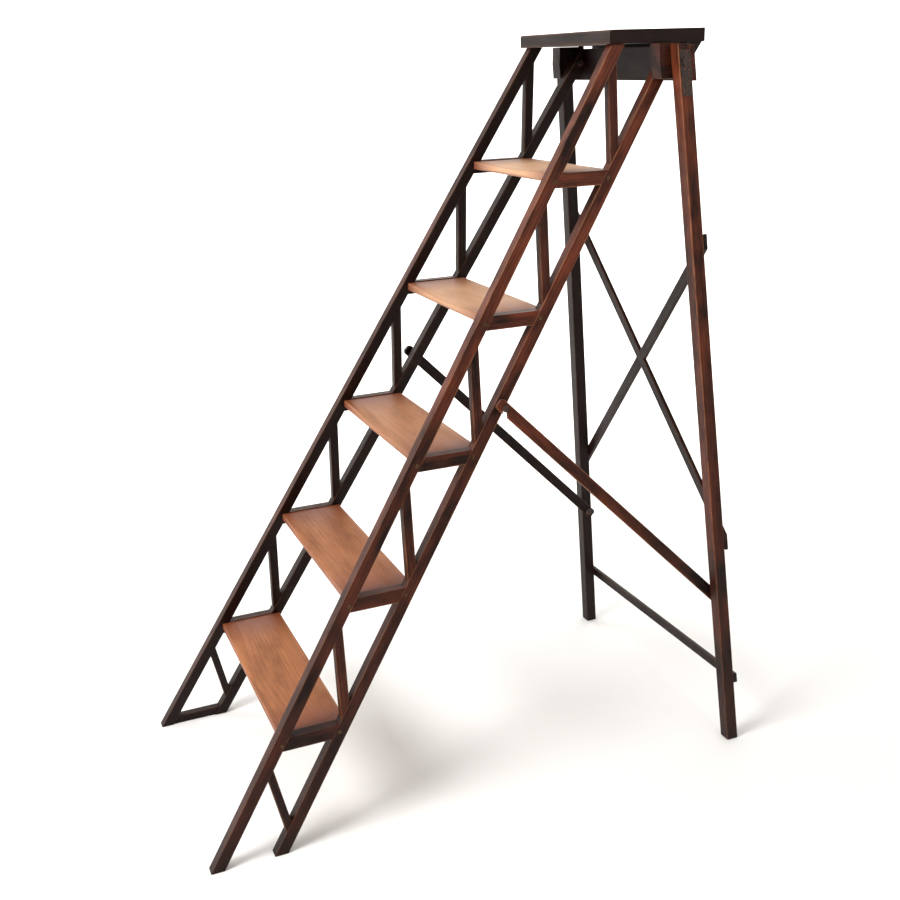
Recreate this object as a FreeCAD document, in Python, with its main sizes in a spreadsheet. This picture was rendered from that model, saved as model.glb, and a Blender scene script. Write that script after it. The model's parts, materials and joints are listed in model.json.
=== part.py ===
import FreeCAD, Part
import math
import os

import Sketcher

# A folding wooden step ladder with lattice sides, five treads and a top platform, carried at the
# back by a braced frame that is hinged under the platform and held open by two hooked stays.
# Millimetres. +X is the user's right, +Y runs from the treads to the back frame, +Z is up. Heights
# are measured from the floor, and depths from the line of the front feet until place() moves them.

# ---------------------------------------------------------------- driving dimensions

SIZES = [
    # the two lattice sides and what stands between them
    ("platform_height", 1493.0),    # floor to the top of the platform
    ("first_tread", 241.0),         # floor to the top of the first tread
    ("tread_rise", 250.0),          # from one tread to the next
    ("stile_slope", 31.92),         # degrees between a stile and the vertical, seen from the side
    ("stile_gap", 124.6),           # from front stile to back stile, level
    ("foot_half", 281.5),           # half the width over the stile centres, at the floor
    ("side_taper", 4.4),            # degrees that each side leans inwards
    ("stile_width", 23.0),
    ("stile_thickness", 23.0),
    ("bearer_drop", 25.0),          # from the top of a tread down to the underside of its bearer
    ("bearer_lip", 2.0),            # how far a bearer stands above its tread
    ("tenon_length", 9.0),
    ("tenon_thickness", 8.0),
    ("tenon_shoulder", 6.0),
    ("strut_width", 19.0),
    ("strut_thickness", 18.0),
    ("strut_offset", 3.4),          # strut centre behind the back stile's, at the tread's level
    ("low_strut_top", 172.0),       # height of the lowest strut on the front stile
    ("low_strut_foot", 54.5),       # height of the lowest strut on the back stile
    ("low_strut_cut", 20.0),        # height that its end cut takes up on a stile
    ("foot_rail_height", 20.0),
    ("tread_thickness", 16.0),
    ("tread_nosing", 2.3),          # tread's front edge ahead of the front stile's centre
    ("tread_tail", 7.8),            # tread's back edge behind the back stile's centre
    ("housing_depth", 6.0),         # how deep a tread's end is let into the side
    # the platform
    ("platform_thickness", 25.0),
    ("platform_overhang", 18.46),   # from a stile's centre out to the platform's end
    ("platform_nosing", 10.6),      # platform ahead of the stiles' front arris
    ("platform_depth", 208.0),
    ("batten_height", 30.0),
    ("batten_top_depth", 33.0),
    ("batten_foot_depth", 12.0),
    ("batten_setback", 4.0),
    # the back frame
    ("pivot_drop", 34.0),           # from the platform's underside down to the pivot
    ("leg_offset", 58.84),          # from a stile's centre out to its leg's, at the pivot
    ("rear_splay", 3.5),            # degrees that a leg spreads, seen from behind
    ("rear_lean", 5.08),            # degrees that the back frame leans, seen from the side
    ("leg_thickness", 26.5),
    ("leg_depth", 26.5),
    ("leg_above_pivot", 31.0),
    ("apron_height", 64.5),
    ("apron_above_pivot", 29.0),
    ("apron_thickness", 12.5),
    ("apron_inset", 4.0),           # apron's ends inside the legs' outer faces
    ("lath_width", 21.5),
    ("lath_thickness", 9.3),
    ("brace_high", 1087.0),
    ("brace_low", 485.0),
    ("lower_rail_height", 148.0),
    ("plate_thickness", 2.5),
    ("plate_width", 22.0),
    ("plate_above", 20.0),
    ("plate_below", 62.0),
    # the stays
    ("stay_width", 23.0),
    ("stay_thickness", 8.0),
    ("stay_front_height", 821.0),   # height of the stud on the back stile
    ("stay_rear_height", 335.0),    # height of the stay's own pivot on the leg
    ("stay_end", 17.0),             # wood beyond each end's centre
    ("stay_corner", 5.2),           # cut off each corner of a stay
    ("stay_gap", 0.3),              # between a stay and its washer or screw head
    ("stud_radius", 4.0),
    ("stud_head_radius", 7.0),
    ("stud_head_height", 2.0),
    ("stud_head_gap", 1.5),         # between a stay and its stud's head
    ("stud_collar_radius", 9.0),
    ("stud_collar_height", 3.0),
    ("hook_clearance", 0.5),
    ("hook_flare", 5.0),            # degrees that each side of the hook's slot opens out
    # bolts and screws
    ("bolt_radius", 4.0),
    ("bolt_head_radius", 9.0),
    ("bolt_head_height", 4.0),
    ("bolt_end", 9.0),              # bolt beyond the back stile's inner face
    ("nut_radius", 7.6),            # over the nut's corners
    ("nut_thickness", 6.5),
    ("seat_gap", 0.05),             # under a bolt's head or nut, where it stands square on a slope
    ("block_reach", 36.8),          # pivot block's top ahead of the pivot
    ("running_clearance", 0.08),
    ("washer_thickness", 1.2),
    ("washer_radius", 10.0),
    ("screw_radius", 1.8),
    ("screw_head_radius", 3.8),
    ("screw_length", 16.0),
    ("pin_offset", 5.0),            # side screws ahead of or behind the stile's centre, in a tenon
    ("countersink_radius", 4.2),
    ("countersink_depth", 1.2),     # recess that a platform screw's head lies in
    ("head_depth", 0.4),            # that head's top below the platform's
    ("back_screw_shift", 8.1),      # back platform screws ahead of the back stile's centre
    ("side_gap", 0.6),              # between a leg and what lies beside it
]
TREADS = 5
SIDES = {"left": -1, "right": 1}

doc = FreeCAD.newDocument("StepLadder")
sheet = doc.addObject("Spreadsheet::Sheet", "Sizes")
for row, (alias, number) in enumerate(SIZES, start=1):
    sheet.set(f"A{row}", alias)
    sheet.set(f"B{row}", str(number))
    sheet.setAlias(f"B{row}", alias)
doc.recompute()
pieces = []


def size(alias):
    """The number that the sheet holds for a driving dimension."""
    return float(sheet.get(alias))


def sine(alias):
    return math.sin(math.radians(size(alias)))


def cosine(alias):
    return math.cos(math.radians(size(alias)))


def tangent(alias):
    return math.tan(math.radians(size(alias)))


# ---------------------------------------------------------------- the ladder's own geometry
# Each of these gives an expression in the sheet's names, which the sketches are bound to.

HALF_CHORD = "(Sizes.stile_width / 2 / cos(Sizes.stile_slope))"
STILE_TOP = "(Sizes.platform_height - Sizes.platform_thickness)"
PIVOT_HEIGHT = f"({STILE_TOP} - Sizes.pivot_drop)"
TENON_REACH = "(Sizes.tenon_length / cos(Sizes.stile_slope))"


def tread_top(number):
    return f"(Sizes.first_tread + {number - 1} * Sizes.tread_rise)"


def front_stile(height):
    """Depth of the front stile's centre line at a height."""
    return f"(({height}) * tan(Sizes.stile_slope))"


def back_stile(height):
    return f"({front_stile(height)} + Sizes.stile_gap)"


def bay_front(height):
    """Depth of the front stile's rear face, where a bay of the lattice begins."""
    return f"({front_stile(height)} + {HALF_CHORD})"


def bay_back(height):
    return f"({back_stile(height)} - {HALF_CHORD})"


def height_on(depth, face_depth_at_floor):
    """Height at which a stile face that starts at this depth reaches another depth."""
    return f"((({depth}) - ({face_depth_at_floor})) / tan(Sizes.stile_slope))"


def half_width(height):
    """Half the width over the stile centres at a height."""
    return f"(Sizes.foot_half - ({height}) * tan(Sizes.side_taper))"


LEG_TOP_HALF = f"({half_width(PIVOT_HEIGHT)} + Sizes.leg_offset)"
PLATFORM_HALF = f"({half_width(STILE_TOP)} + Sizes.platform_overhang)"


def leg_half(height):
    """Half the width over the back legs' centres at a height."""
    return f"({LEG_TOP_HALF} + ({PIVOT_HEIGHT} - ({height})) * tan(Sizes.rear_splay))"


def stile_half_at(height):
    return size("foot_half") - height * tangent("side_taper")


stile_top = size("platform_height") - size("platform_thickness")
pivot_height = stile_top - size("pivot_drop")
leg_top_half = stile_half_at(pivot_height) + size("leg_offset")
pivot_depth = pivot_height * tangent("stile_slope") + size("stile_gap")
rear_foot_depth = pivot_depth + pivot_height * tangent("rear_lean")
half_chord = size("stile_width") / 2 / cosine("stile_slope")
deepest = rear_foot_depth + size("leg_depth") / 2
DEPTH_SHIFT = -(deepest - half_chord) / 2       # puts the origin under the middle of the ladder


# ---------------------------------------------------------------- placing

def place(across, depth, height, x_axis=(1, 0, 0), y_axis=(0, 1, 0)):
    """A placement from an origin and two of its axes, moved to the ladder's own origin."""
    first = FreeCAD.Vector(*x_axis)
    second = FreeCAD.Vector(*y_axis)
    turn = FreeCAD.Rotation(first, second, first.cross(second), "ZXY")
    return FreeCAD.Placement(FreeCAD.Vector(across, depth + DEPTH_SHIFT, height), turn)


def side_place(side, lean="side_taper", half=None):
    """The plane of one side: sketches run along depth and up the side, which leans inwards."""
    across = side * (size("foot_half") if half is None else half)
    return place(across, 0, 0, (0, 1, 0), (-side * sine(lean), 0, cosine(lean)))


def side_across(side, lean="side_taper"):
    """The level direction across the ladder, in the coordinates of side_place()."""
    return FreeCAD.Vector(0, -side * sine(lean), cosine(lean))


def rear_place():
    """The plane of the back frame, through the leg centres: across and up the lean."""
    return place(0, rear_foot_depth, 0, (1, 0, 0), (0, -sine("rear_lean"), cosine("rear_lean")))


def rear_along():
    """The level direction from front to back, in the coordinates of rear_place()."""
    return FreeCAD.Vector(0, -sine("rear_lean"), -cosine("rear_lean"))


def up_side(height, lean="side_taper"):
    return f"(({height}) / cos(Sizes.{lean}))"


def up_rear(height):
    return f"(({height}) / cos(Sizes.rear_lean))"


# ---------------------------------------------------------------- sketches and features

def new_body(label, placement):
    body = doc.addObject("PartDesign::Body", label)
    body.Label = label
    body.Placement = placement
    pieces.append(body)
    return body


def new_sketch(body, name, plane="XY_Plane", offset=None):
    origin_plane = next(item for item in body.Origin.OriginFeatures if item.Role == plane)
    sketch = body.newObject("Sketcher::SketchObject", name)
    sketch.AttachmentSupport = [(origin_plane, "")]
    sketch.MapMode = "FlatFace"
    if offset is not None:
        sketch.AttachmentOffset = FreeCAD.Placement(offset, FreeCAD.Rotation())
    return sketch


def bind(sketch, kind, first, value, expression):
    index = sketch.addConstraint(Sketcher.Constraint(kind, *first, float(value)))
    sketch.setExpression(f"Constraints[{index}]", str(expression))


def add_outline(sketch, corners):
    """A closed outline whose corners are pairs of expressions."""
    count = len(corners)
    start = sketch.GeometryCount
    rough = []
    for number in range(count):
        angle = 2 * math.pi * number / count
        rough.append(FreeCAD.Vector(100 * math.cos(angle), 100 * math.sin(angle), 0))
    for number in range(count):
        sketch.addGeometry(Part.LineSegment(rough[number], rough[(number + 1) % count]), False)
    for number in range(count):
        following = start + (number + 1) % count
        sketch.addConstraint(Sketcher.Constraint("Coincident", start + number, 2, following, 1))
    for number, (along, up) in enumerate(corners):
        corner = (-1, 1, start + number, 1)
        bind(sketch, "DistanceX", corner, rough[number].x, along)
        bind(sketch, "DistanceY", corner, rough[number].y, up)


def add_circle(sketch, along, up, radius):
    index = sketch.addGeometry(Part.Circle(FreeCAD.Vector(50, 50, 0), FreeCAD.Vector(0, 0, 1), 5))
    bind(sketch, "DistanceX", (-1, 1, index, 3), 50, along)
    bind(sketch, "DistanceY", (-1, 1, index, 3), 50, up)
    bind(sketch, "Radius", (index,), 5, radius)


def extrude(body, sketch, kind, length, direction=None, symmetric=False, reverse=False):
    """A Pad or Pocket of a sketch, bound to a length, along the normal or a given direction."""
    feature = body.newObject(f"PartDesign::{kind}", f"{sketch.Name}{kind}")
    feature.Profile = sketch
    if direction is not None:
        feature.UseCustomVector = True
        feature.Direction = direction
        feature.AlongSketchNormal = False
    feature.SideType = "Symmetric" if symmetric else "One side"
    feature.Reversed = reverse
    feature.setExpression("Length", length)
    sketch.Visibility = False
    doc.recompute()
    return feature


def cut(body, sketch, length, direction=None, symmetric=False, reverse=False):
    """A Pocket that must take wood away."""
    before = body.Shape.Volume
    feature = extrude(body, sketch, "Pocket", length, direction, symmetric, reverse)
    if not body.Shape.Volume < before - 0.01:
        raise RuntimeError(f"{feature.Name} of {body.Label} cuts nothing")
    return feature


def flat_member(label, placement, corners, thickness, direction):
    """A member of even thickness, centred on its placement's plane."""
    body = new_body(label, placement)
    sketch = new_sketch(body, f"{label}_outline")
    add_outline(sketch, corners)
    extrude(body, sketch, "Pad", thickness, direction, symmetric=True)
    return body


# ---------------------------------------------------------------- joints cut in the sides

def bearer_band(height_low, height_high):
    """The tenons at a level member's two ends, as outlines in a side's plane."""
    low = up_side(height_low)
    high = up_side(height_high)
    front = [(f"{bay_front(height_low)} - {TENON_REACH}", low), (bay_front(height_low), low),
             (bay_front(height_high), high), (f"{bay_front(height_high)} - {TENON_REACH}", high)]
    back = [(bay_back(height_low), low), (f"{bay_back(height_low)} + {TENON_REACH}", low),
            (f"{bay_back(height_high)} + {TENON_REACH}", high), (bay_back(height_high), high)]
    return front, back


def bearer_low(number):
    return f"({tread_top(number)} - Sizes.bearer_drop)"


def bearer_high(number):
    return f"({tread_top(number)} + Sizes.bearer_lip)"


def tenon_band(number):
    return (f"({bearer_low(number)} + Sizes.tenon_shoulder)",
            f"({bearer_high(number)} - Sizes.tenon_shoulder)")


FOOT_RAIL_TENON = ("(Sizes.tenon_shoulder)", "(Sizes.foot_rail_height - Sizes.tenon_shoulder / 2)")


def cut_housings(body, side, numbers):
    """Let the ends of these treads into a side member's inner face."""
    across = side_across(side)
    offset = across * (-side * size("stile_thickness") / 2)
    sketch = new_sketch(body, f"{body.Label}_housings", offset=offset)
    for number in numbers:
        top = tread_top(number)
        front = f"({front_stile(top)} - Sizes.tread_nosing)"
        back = f"({back_stile(top)} + Sizes.tread_tail)"
        low = up_side(f"{top} - Sizes.tread_thickness")
        high = up_side(top)
        add_outline(sketch, [(front, low), (back, low), (back, high), (front, high)])
    cut(body, sketch, "Sizes.housing_depth", across * side)


def cut_mortises(body, side, which):
    """Mortises for the bearers, and for the foot rail on the left, in a stile's inner edge."""
    sketch = new_sketch(body, f"{body.Label}_mortises")
    bands = [tenon_band(number) for number in range(1, TREADS + 1)]
    if side < 0:
        bands.append(FOOT_RAIL_TENON)
    for low, high in bands:
        add_outline(sketch, bearer_band(low, high)[which])
    cut(body, sketch, "Sizes.tenon_thickness", side_across(side), symmetric=True)


def add_tenons(body, side, band):
    for name, outline in zip(("front", "back"), bearer_band(*band)):
        sketch = new_sketch(body, f"{body.Label}_{name}_tenon")
        add_outline(sketch, outline)
        extrude(body, sketch, "Pad", "Sizes.tenon_thickness", side_across(side), symmetric=True)


# ---------------------------------------------------------------- the lattice sides

PIVOT_DEPTH = back_stile(PIVOT_HEIGHT)
# the back stile is cut plumb near its top, in front of the apron that swings there
PLUMB_DEPTH = (f"({PIVOT_DEPTH} + Sizes.leg_depth / 2 - 2 * Sizes.side_gap"
               " - Sizes.leg_above_pivot * tan(Sizes.rear_lean))")
PLUMB_HEIGHT = height_on(PLUMB_DEPTH, f"Sizes.stile_gap + {HALF_CHORD}")


def front_stile_piece(name, side):
    top = STILE_TOP
    corners = [(f"-{HALF_CHORD}", "0"), (HALF_CHORD, "0"),
               (bay_front(top), up_side(top)), (f"{front_stile(top)} - {HALF_CHORD}", up_side(top))]
    body = flat_member(f"front_stile_{name}", side_place(side), corners, "Sizes.stile_thickness",
                       side_across(side))
    cut_mortises(body, side, 0)
    cut_housings(body, side, range(1, TREADS + 1))


def cut_pivot_hole(body, side, depth_across):
    sketch = new_sketch(body, f"{body.Label}_pivot_hole")
    add_circle(sketch, PIVOT_DEPTH, up_side(PIVOT_HEIGHT),
               "Sizes.bolt_radius + Sizes.running_clearance")
    cut(body, sketch, depth_across, side_across(side), symmetric=True)


def back_stile_piece(name, side):
    top = STILE_TOP
    corners = [(bay_back("0"), "0"), (f"Sizes.stile_gap + {HALF_CHORD}", "0"),
               (PLUMB_DEPTH, up_side(PLUMB_HEIGHT)), (PLUMB_DEPTH, up_side(top)),
               (bay_back(top), up_side(top))]
    body = flat_member(f"back_stile_{name}", side_place(side), corners, "Sizes.stile_thickness",
                       side_across(side))
    cut_mortises(body, side, 1)
    cut_housings(body, side, range(1, TREADS + 1))
    cut_pivot_hole(body, side, "Sizes.stile_thickness * 3")


def bearer_piece(name, side, number):
    low = bearer_low(number)
    high = bearer_high(number)
    corners = [(bay_front(low), up_side(low)), (bay_back(low), up_side(low)),
               (bay_back(high), up_side(high)), (bay_front(high), up_side(high))]
    body = flat_member(f"bearer_{number}_{name}", side_place(side), corners,
                       "Sizes.stile_thickness", side_across(side))
    add_tenons(body, side, tenon_band(number))
    cut_housings(body, side, [number])


def foot_rail_piece():
    low = "0"
    high = "Sizes.foot_rail_height"
    corners = [(bay_front(low), up_side(low)), (bay_back(low), up_side(low)),
               (bay_back(high), up_side(high)), (bay_front(high), up_side(high))]
    body = flat_member("foot_rail_left", side_place(-1), corners, "Sizes.strut_thickness",
                       side_across(-1))
    add_tenons(body, -1, FOOT_RAIL_TENON)


def strut_piece(name, side, number):
    """An upright strut from the back stile above a tread to the front stile under the next."""
    centre = f"({back_stile(tread_top(number))} + Sizes.strut_offset)"
    fore = f"({centre} - Sizes.strut_width / 2)"
    aft = f"({centre} + Sizes.strut_width / 2)"
    back_face = f"Sizes.stile_gap - {HALF_CHORD}"
    corners = [(fore, up_side(height_on(fore, back_face))), (aft, up_side(height_on(aft, back_face))),
               (aft, up_side(height_on(aft, HALF_CHORD))), (fore, up_side(height_on(fore, HALF_CHORD)))]
    flat_member(f"strut_{number + 1}_{name}", side_place(side), corners, "Sizes.strut_thickness",
                side_across(side))


def low_strut_piece(name, side):
    """The lowest strut, which leans back from under the first tread to the back stile's foot."""
    half = "Sizes.low_strut_cut / 2"
    corners = []
    for face, centre, sign in ((bay_front, "Sizes.low_strut_top", 1),
                               (bay_front, "Sizes.low_strut_top", -1),
                               (bay_back, "Sizes.low_strut_foot", -1),
                               (bay_back, "Sizes.low_strut_foot", 1)):
        height = f"({centre} + {sign} * {half})"
        corners.append((face(height), up_side(height)))
    flat_member(f"strut_1_{name}", side_place(side), corners, "Sizes.strut_thickness",
                side_across(side))


def pivot_block_piece(name, side):
    """The wooden block that fills the space between a back stile's top and the leg beside it."""
    inner = stile_half_at(pivot_height) + size("stile_thickness") / 2
    outer = leg_top_half - size("leg_thickness") / 2 - 2 * size("side_gap")
    low = f"({PIVOT_HEIGHT} - Sizes.leg_above_pivot)"
    top = f"({STILE_TOP} - Sizes.side_gap)"
    rear_foot = f"(Sizes.stile_gap + {HALF_CHORD})"
    corners = [(f"{bay_back(low)}", up_side(low)), (f"{back_stile(low)} + {HALF_CHORD}", up_side(low)),
               (PLUMB_DEPTH, up_side(height_on(PLUMB_DEPTH, rear_foot))),
               (PLUMB_DEPTH, up_side(top)),
               (f"{PIVOT_DEPTH} - Sizes.block_reach", up_side(top)),
               (f"{PIVOT_DEPTH} - Sizes.block_reach", up_side(PIVOT_HEIGHT))]
    body = new_body(f"pivot_block_{name}", side_place(side))
    offset = side_across(side) * (side * size("stile_thickness") / 2)
    sketch = new_sketch(body, f"{body.Label}_outline", offset=offset)
    add_outline(sketch, corners)
    extrude(body, sketch, "Pad", f"{outer - inner}", side_across(side) * side)
    cut_pivot_hole(body, side, "Sizes.stile_thickness * 6")


# ---------------------------------------------------------------- treads and platform

def level_place(depth):
    """A placement whose XZ plane stands across the ladder at a depth."""
    return place(0, depth, 0)


def inner_half(height):
    """Half the width that a tread's end reaches, down in its housing."""
    return f"({half_width(height)} - Sizes.stile_thickness / 2 + Sizes.housing_depth)"


def board(label, corners, depth, length):
    """A level piece whose section across the ladder runs back from a depth."""
    body = new_body(label, level_place(depth))
    sketch = new_sketch(body, f"{label}_section", plane="XZ_Plane")
    add_outline(sketch, corners)
    extrude(body, sketch, "Pad", length, reverse=True)
    return body


def tread_piece(number):
    top = tread_top(number)
    low = f"({top} - Sizes.tread_thickness)"
    corners = [(f"-{inner_half(low)}", low), (inner_half(low), low),
               (inner_half(top), top), (f"-{inner_half(top)}", top)]
    height = size("first_tread") + (number - 1) * size("tread_rise")
    front = height * tangent("stile_slope") - size("tread_nosing")
    board(f"tread_{number}", corners, front,
          "Sizes.stile_gap + Sizes.tread_nosing + Sizes.tread_tail")


platform_front = stile_top * tangent("stile_slope") - half_chord - size("platform_nosing")
platform_back = platform_front + size("platform_depth")


def platform_piece():
    low = STILE_TOP
    top = "Sizes.platform_height"
    corners = [(f"-{PLATFORM_HALF}", low), (PLATFORM_HALF, low),
               (PLATFORM_HALF, top), (f"-{PLATFORM_HALF}", top)]
    body = board("platform", corners, platform_front, "Sizes.platform_depth")
    offset = FreeCAD.Vector(0, 0, size("platform_height"))
    sketch = new_sketch(body, "platform_countersinks", offset=offset)
    for (across, depth, _), _ in platform_screw_spots():
        add_circle(sketch, str(across), str(depth - platform_front), "Sizes.countersink_radius")
    cut(body, sketch, "Sizes.countersink_depth")


def batten_piece():
    """The bevelled batten under the platform's back edge."""
    back = f"({platform_back + DEPTH_SHIFT} - Sizes.batten_setback)"
    front = f"({back} - Sizes.batten_top_depth)"
    low = f"({STILE_TOP} - Sizes.batten_height)"
    corners = [(front, low), (f"{front} + Sizes.batten_foot_depth", low),
               (back, STILE_TOP), (front, STILE_TOP)]
    body = new_body("platform_batten", FreeCAD.Placement())
    sketch = new_sketch(body, "platform_batten_section", plane="YZ_Plane")
    add_outline(sketch, corners)
    extrude(body, sketch, "Pad", f"{PLATFORM_HALF} * 2 - Sizes.batten_setback * 2",
            symmetric=True)


# ---------------------------------------------------------------- the back frame

def rear_leg_piece(name, side):
    top = f"({PIVOT_HEIGHT} + Sizes.leg_above_pivot)"
    half = "Sizes.leg_thickness / 2"
    corners = [(f"{side} * ({leg_half('0')} - {half})", "0"),
               (f"{side} * ({leg_half('0')} + {half})", "0"),
               (f"{side} * ({leg_half(top)} + {half})", up_rear(top)),
               (f"{side} * ({leg_half(top)} - {half})", up_rear(top))]
    body = flat_member(f"rear_leg_{name}", rear_place(), corners, "Sizes.leg_depth", rear_along())
    sketch = new_sketch(body, f"{body.Label}_pivot_hole", plane="YZ_Plane")
    add_circle(sketch, up_rear(PIVOT_HEIGHT), "0",
               "Sizes.bolt_radius + Sizes.running_clearance")
    cut(body, sketch, f"{LEG_TOP_HALF} * 3", symmetric=True)


def behind_legs(label, corners, thickness):
    """A member fixed to the back faces of the legs."""
    body = new_body(label, rear_place())
    offset = rear_along() * (size("leg_depth") / 2)
    sketch = new_sketch(body, f"{label}_outline", offset=offset)
    add_outline(sketch, corners)
    extrude(body, sketch, "Pad", thickness, rear_along())
    return body


def level_rail_corners(low, high, inset="0"):
    reach_low = f"({leg_half(low)} + Sizes.leg_thickness / 2 - {inset})"
    reach_high = f"({leg_half(high)} + Sizes.leg_thickness / 2 - {inset})"
    return [(f"-{reach_low}", up_rear(low)), (reach_low, up_rear(low)),
            (reach_high, up_rear(high)), (f"-{reach_high}", up_rear(high))]


def brace_corners(side):
    """A lath from high on one leg to low on the other, cut to the legs' outer edges."""
    high = "Sizes.brace_high"
    low = "Sizes.brace_low"
    span = f"({leg_half(high)} + {leg_half(low)})"
    fall = f"(({high} - {low}) / {span})"
    half = f"(Sizes.lath_width / 2 * sqrt(1 + {fall} ^ 2))"
    middle = f"({low} + {fall} * {leg_half(low)})"
    edge = f"({leg_half('0')} + Sizes.leg_thickness / 2)"
    narrowing = "tan(Sizes.rear_splay)"

    def at_edge(end, shift):
        """Height at which an edge of the lath meets the outer edge of the leg at one end."""
        return f"(({middle} + ({shift}) + {end} * {fall} * {edge}) / (1 + {end} * {fall} * {narrowing}))"

    corners = []
    for end, shift in ((-1, f"-{half}"), (1, f"-{half}"), (1, half), (-1, half)):
        height = at_edge(end, shift)
        reach = f"({edge} - {height} * {narrowing})"
        corners.append((f"{side * end} * {reach}", up_rear(height)))
    return corners


def brace_pieces():
    """The two laths of the cross, halved into each other where they meet."""
    for label, side, from_front in (("brace_lath_rising_right", 1, True),
                                    ("brace_lath_rising_left", -1, False)):
        body = behind_legs(label, brace_corners(side), "Sizes.lath_thickness")
        distance = size("leg_depth") / 2 + (0 if from_front else size("lath_thickness") / 2)
        sketch = new_sketch(body, f"{label}_halving", offset=rear_along() * distance)
        add_outline(sketch, brace_corners(-side))
        cut(body, sketch, "Sizes.lath_thickness / 2", rear_along())


def apron_piece():
    high = f"({PIVOT_HEIGHT} + Sizes.apron_above_pivot)"
    low = f"({high} - Sizes.apron_height)"
    corners = level_rail_corners(low, high, "Sizes.apron_inset")
    behind_legs("apron_rail", corners, "Sizes.apron_thickness")


def lower_rail_piece():
    low = "(Sizes.lower_rail_height - Sizes.lath_width / 2)"
    high = "(Sizes.lower_rail_height + Sizes.lath_width / 2)"
    behind_legs("lower_rail", level_rail_corners(low, high), "Sizes.lath_thickness")


def leg_plate_piece(name, side):
    """The iron strap let onto the outer face of a leg's top, which the pivot bolt goes through."""
    body = new_body(f"leg_plate_{name}", side_place(side, "rear_splay", leg_face_at_floor(1)))
    low = f"({PIVOT_HEIGHT} - Sizes.plate_below)"
    high = f"({PIVOT_HEIGHT} + Sizes.plate_above)"
    centre = "(" + str(rear_foot_depth) + " - ({0}) * tan(Sizes.rear_lean))"
    corners = [(f"{centre.format(low)} - Sizes.plate_width / 2", up_side(low, "rear_splay")),
               (f"{centre.format(low)} + Sizes.plate_width / 2", up_side(low, "rear_splay")),
               (f"{centre.format(high)} + Sizes.plate_width / 2", up_side(high, "rear_splay")),
               (f"{centre.format(high)} - Sizes.plate_width / 2", up_side(high, "rear_splay"))]
    sketch = new_sketch(body, f"{body.Label}_outline")
    add_outline(sketch, corners)
    extrude(body, sketch, "Pad", "Sizes.plate_thickness", side_across(side, "rear_splay") * side)
    sketch = new_sketch(body, f"{body.Label}_hole")
    add_circle(sketch, PIVOT_DEPTH, up_side(PIVOT_HEIGHT, "rear_splay"),
               "Sizes.bolt_radius + Sizes.running_clearance")
    cut(body, sketch, "Sizes.leg_thickness", side_across(side, "rear_splay"), symmetric=True)


def leg_face_at_floor(outward):
    """Half the width over the legs' outer (1) or inner (-1) faces, at the floor."""
    centre = leg_top_half + pivot_height * tangent("rear_splay")
    return centre + outward * size("leg_thickness") / 2


# ---------------------------------------------------------------- round pieces

def turned(label, placement, steps, bore=None):
    """A round piece built along its placement's Z from (start, length, radius) steps."""
    body = new_body(label, placement)
    for number, (start, length, radius) in enumerate(steps):
        offset = FreeCAD.Vector(0, 0, start)
        sketch = new_sketch(body, f"{label}_step_{number}", offset=offset)
        add_circle(sketch, "0", "0", radius)
        extrude(body, sketch, "Pad", str(length))
    if bore is not None:
        sketch = new_sketch(body, f"{label}_bore")
        add_circle(sketch, "0", "0", bore)
        cut(body, sketch, LEG_TOP_HALF, symmetric=True)
    return body


def across_place(side, across, depth, height):
    """A placement whose Z points straight outwards on one side."""
    return place(side * across, depth, height, (0, 1, 0), (0, 0, side))


def pivot_bolt_piece(name, side):
    """The pivot bolt: nut end inside the back stile, head outside the leg's iron plate."""
    inner = stile_half_at(pivot_height) - size("stile_thickness") / 2 - size("bolt_end")
    slope_room = size("bolt_head_radius") * tangent("rear_splay") + size("seat_gap")
    face = (leg_top_half + size("leg_thickness") / 2 + size("plate_thickness")
            + slope_room)
    length = face - inner
    turned(f"pivot_bolt_{name}", across_place(side, inner, pivot_depth, pivot_height),
           [(0, length, "Sizes.bolt_radius"),
            (length, size("bolt_head_height"), "Sizes.bolt_head_radius")])


def pivot_nut_piece(name, side):
    slope_room = size("bolt_head_radius") * tangent("side_taper") + size("seat_gap")
    inner = stile_half_at(pivot_height) - size("stile_thickness") / 2
    across = inner - slope_room - size("nut_thickness")
    body = new_body(f"pivot_nut_{name}", across_place(side, across, pivot_depth, pivot_height))
    sketch = new_sketch(body, f"{body.Label}_hexagon")
    corners = []
    for number in range(6):
        corners.append((f"Sizes.nut_radius * cos({60 * number})",
                        f"Sizes.nut_radius * sin({60 * number})"))
    add_outline(sketch, corners)
    extrude(body, sketch, "Pad", "Sizes.nut_thickness")
    sketch = new_sketch(body, f"{body.Label}_thread")
    add_circle(sketch, "0", "0", "Sizes.bolt_radius")
    cut(body, sketch, "Sizes.leg_thickness", symmetric=True)


stud_height = size("stay_front_height")
stud_depth = stud_height * tangent("stile_slope") + size("stile_gap")
stay_pivot_height = size("stay_rear_height")
stay_pivot_depth = rear_foot_depth - stay_pivot_height * tangent("rear_lean")
stay_outer_face = leg_face_at_floor(-1) - size("side_gap") - size("washer_thickness")


def stay_face_at(height):
    """Half the width over the stays' outer faces at a height."""
    return stay_outer_face - height * tangent("rear_splay")


def stay_stud_piece(name, side):
    """The iron stud on the back stile that the stay hooks over, with a collar against the wood."""
    foot = stile_half_at(stud_height) + size("stile_thickness") / 2
    tip = stay_face_at(stud_height) + size("stud_head_gap")
    turned(f"stay_stud_{name}", across_place(side, foot - size("screw_length"), stud_depth,
                                             stud_height),
           [(0, tip - foot + size("screw_length"), "Sizes.stud_radius"),
            (size("screw_length") - 1, size("stud_collar_height") + 1, "Sizes.stud_collar_radius"),
            (tip - foot + size("screw_length"), size("stud_head_height"), "Sizes.stud_head_radius")])


stay_middle = stay_outer_face - size("stay_thickness") / 2 / cosine("rear_splay")


def stay_place(side):
    return side_place(side, "rear_splay", stay_middle)


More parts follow.
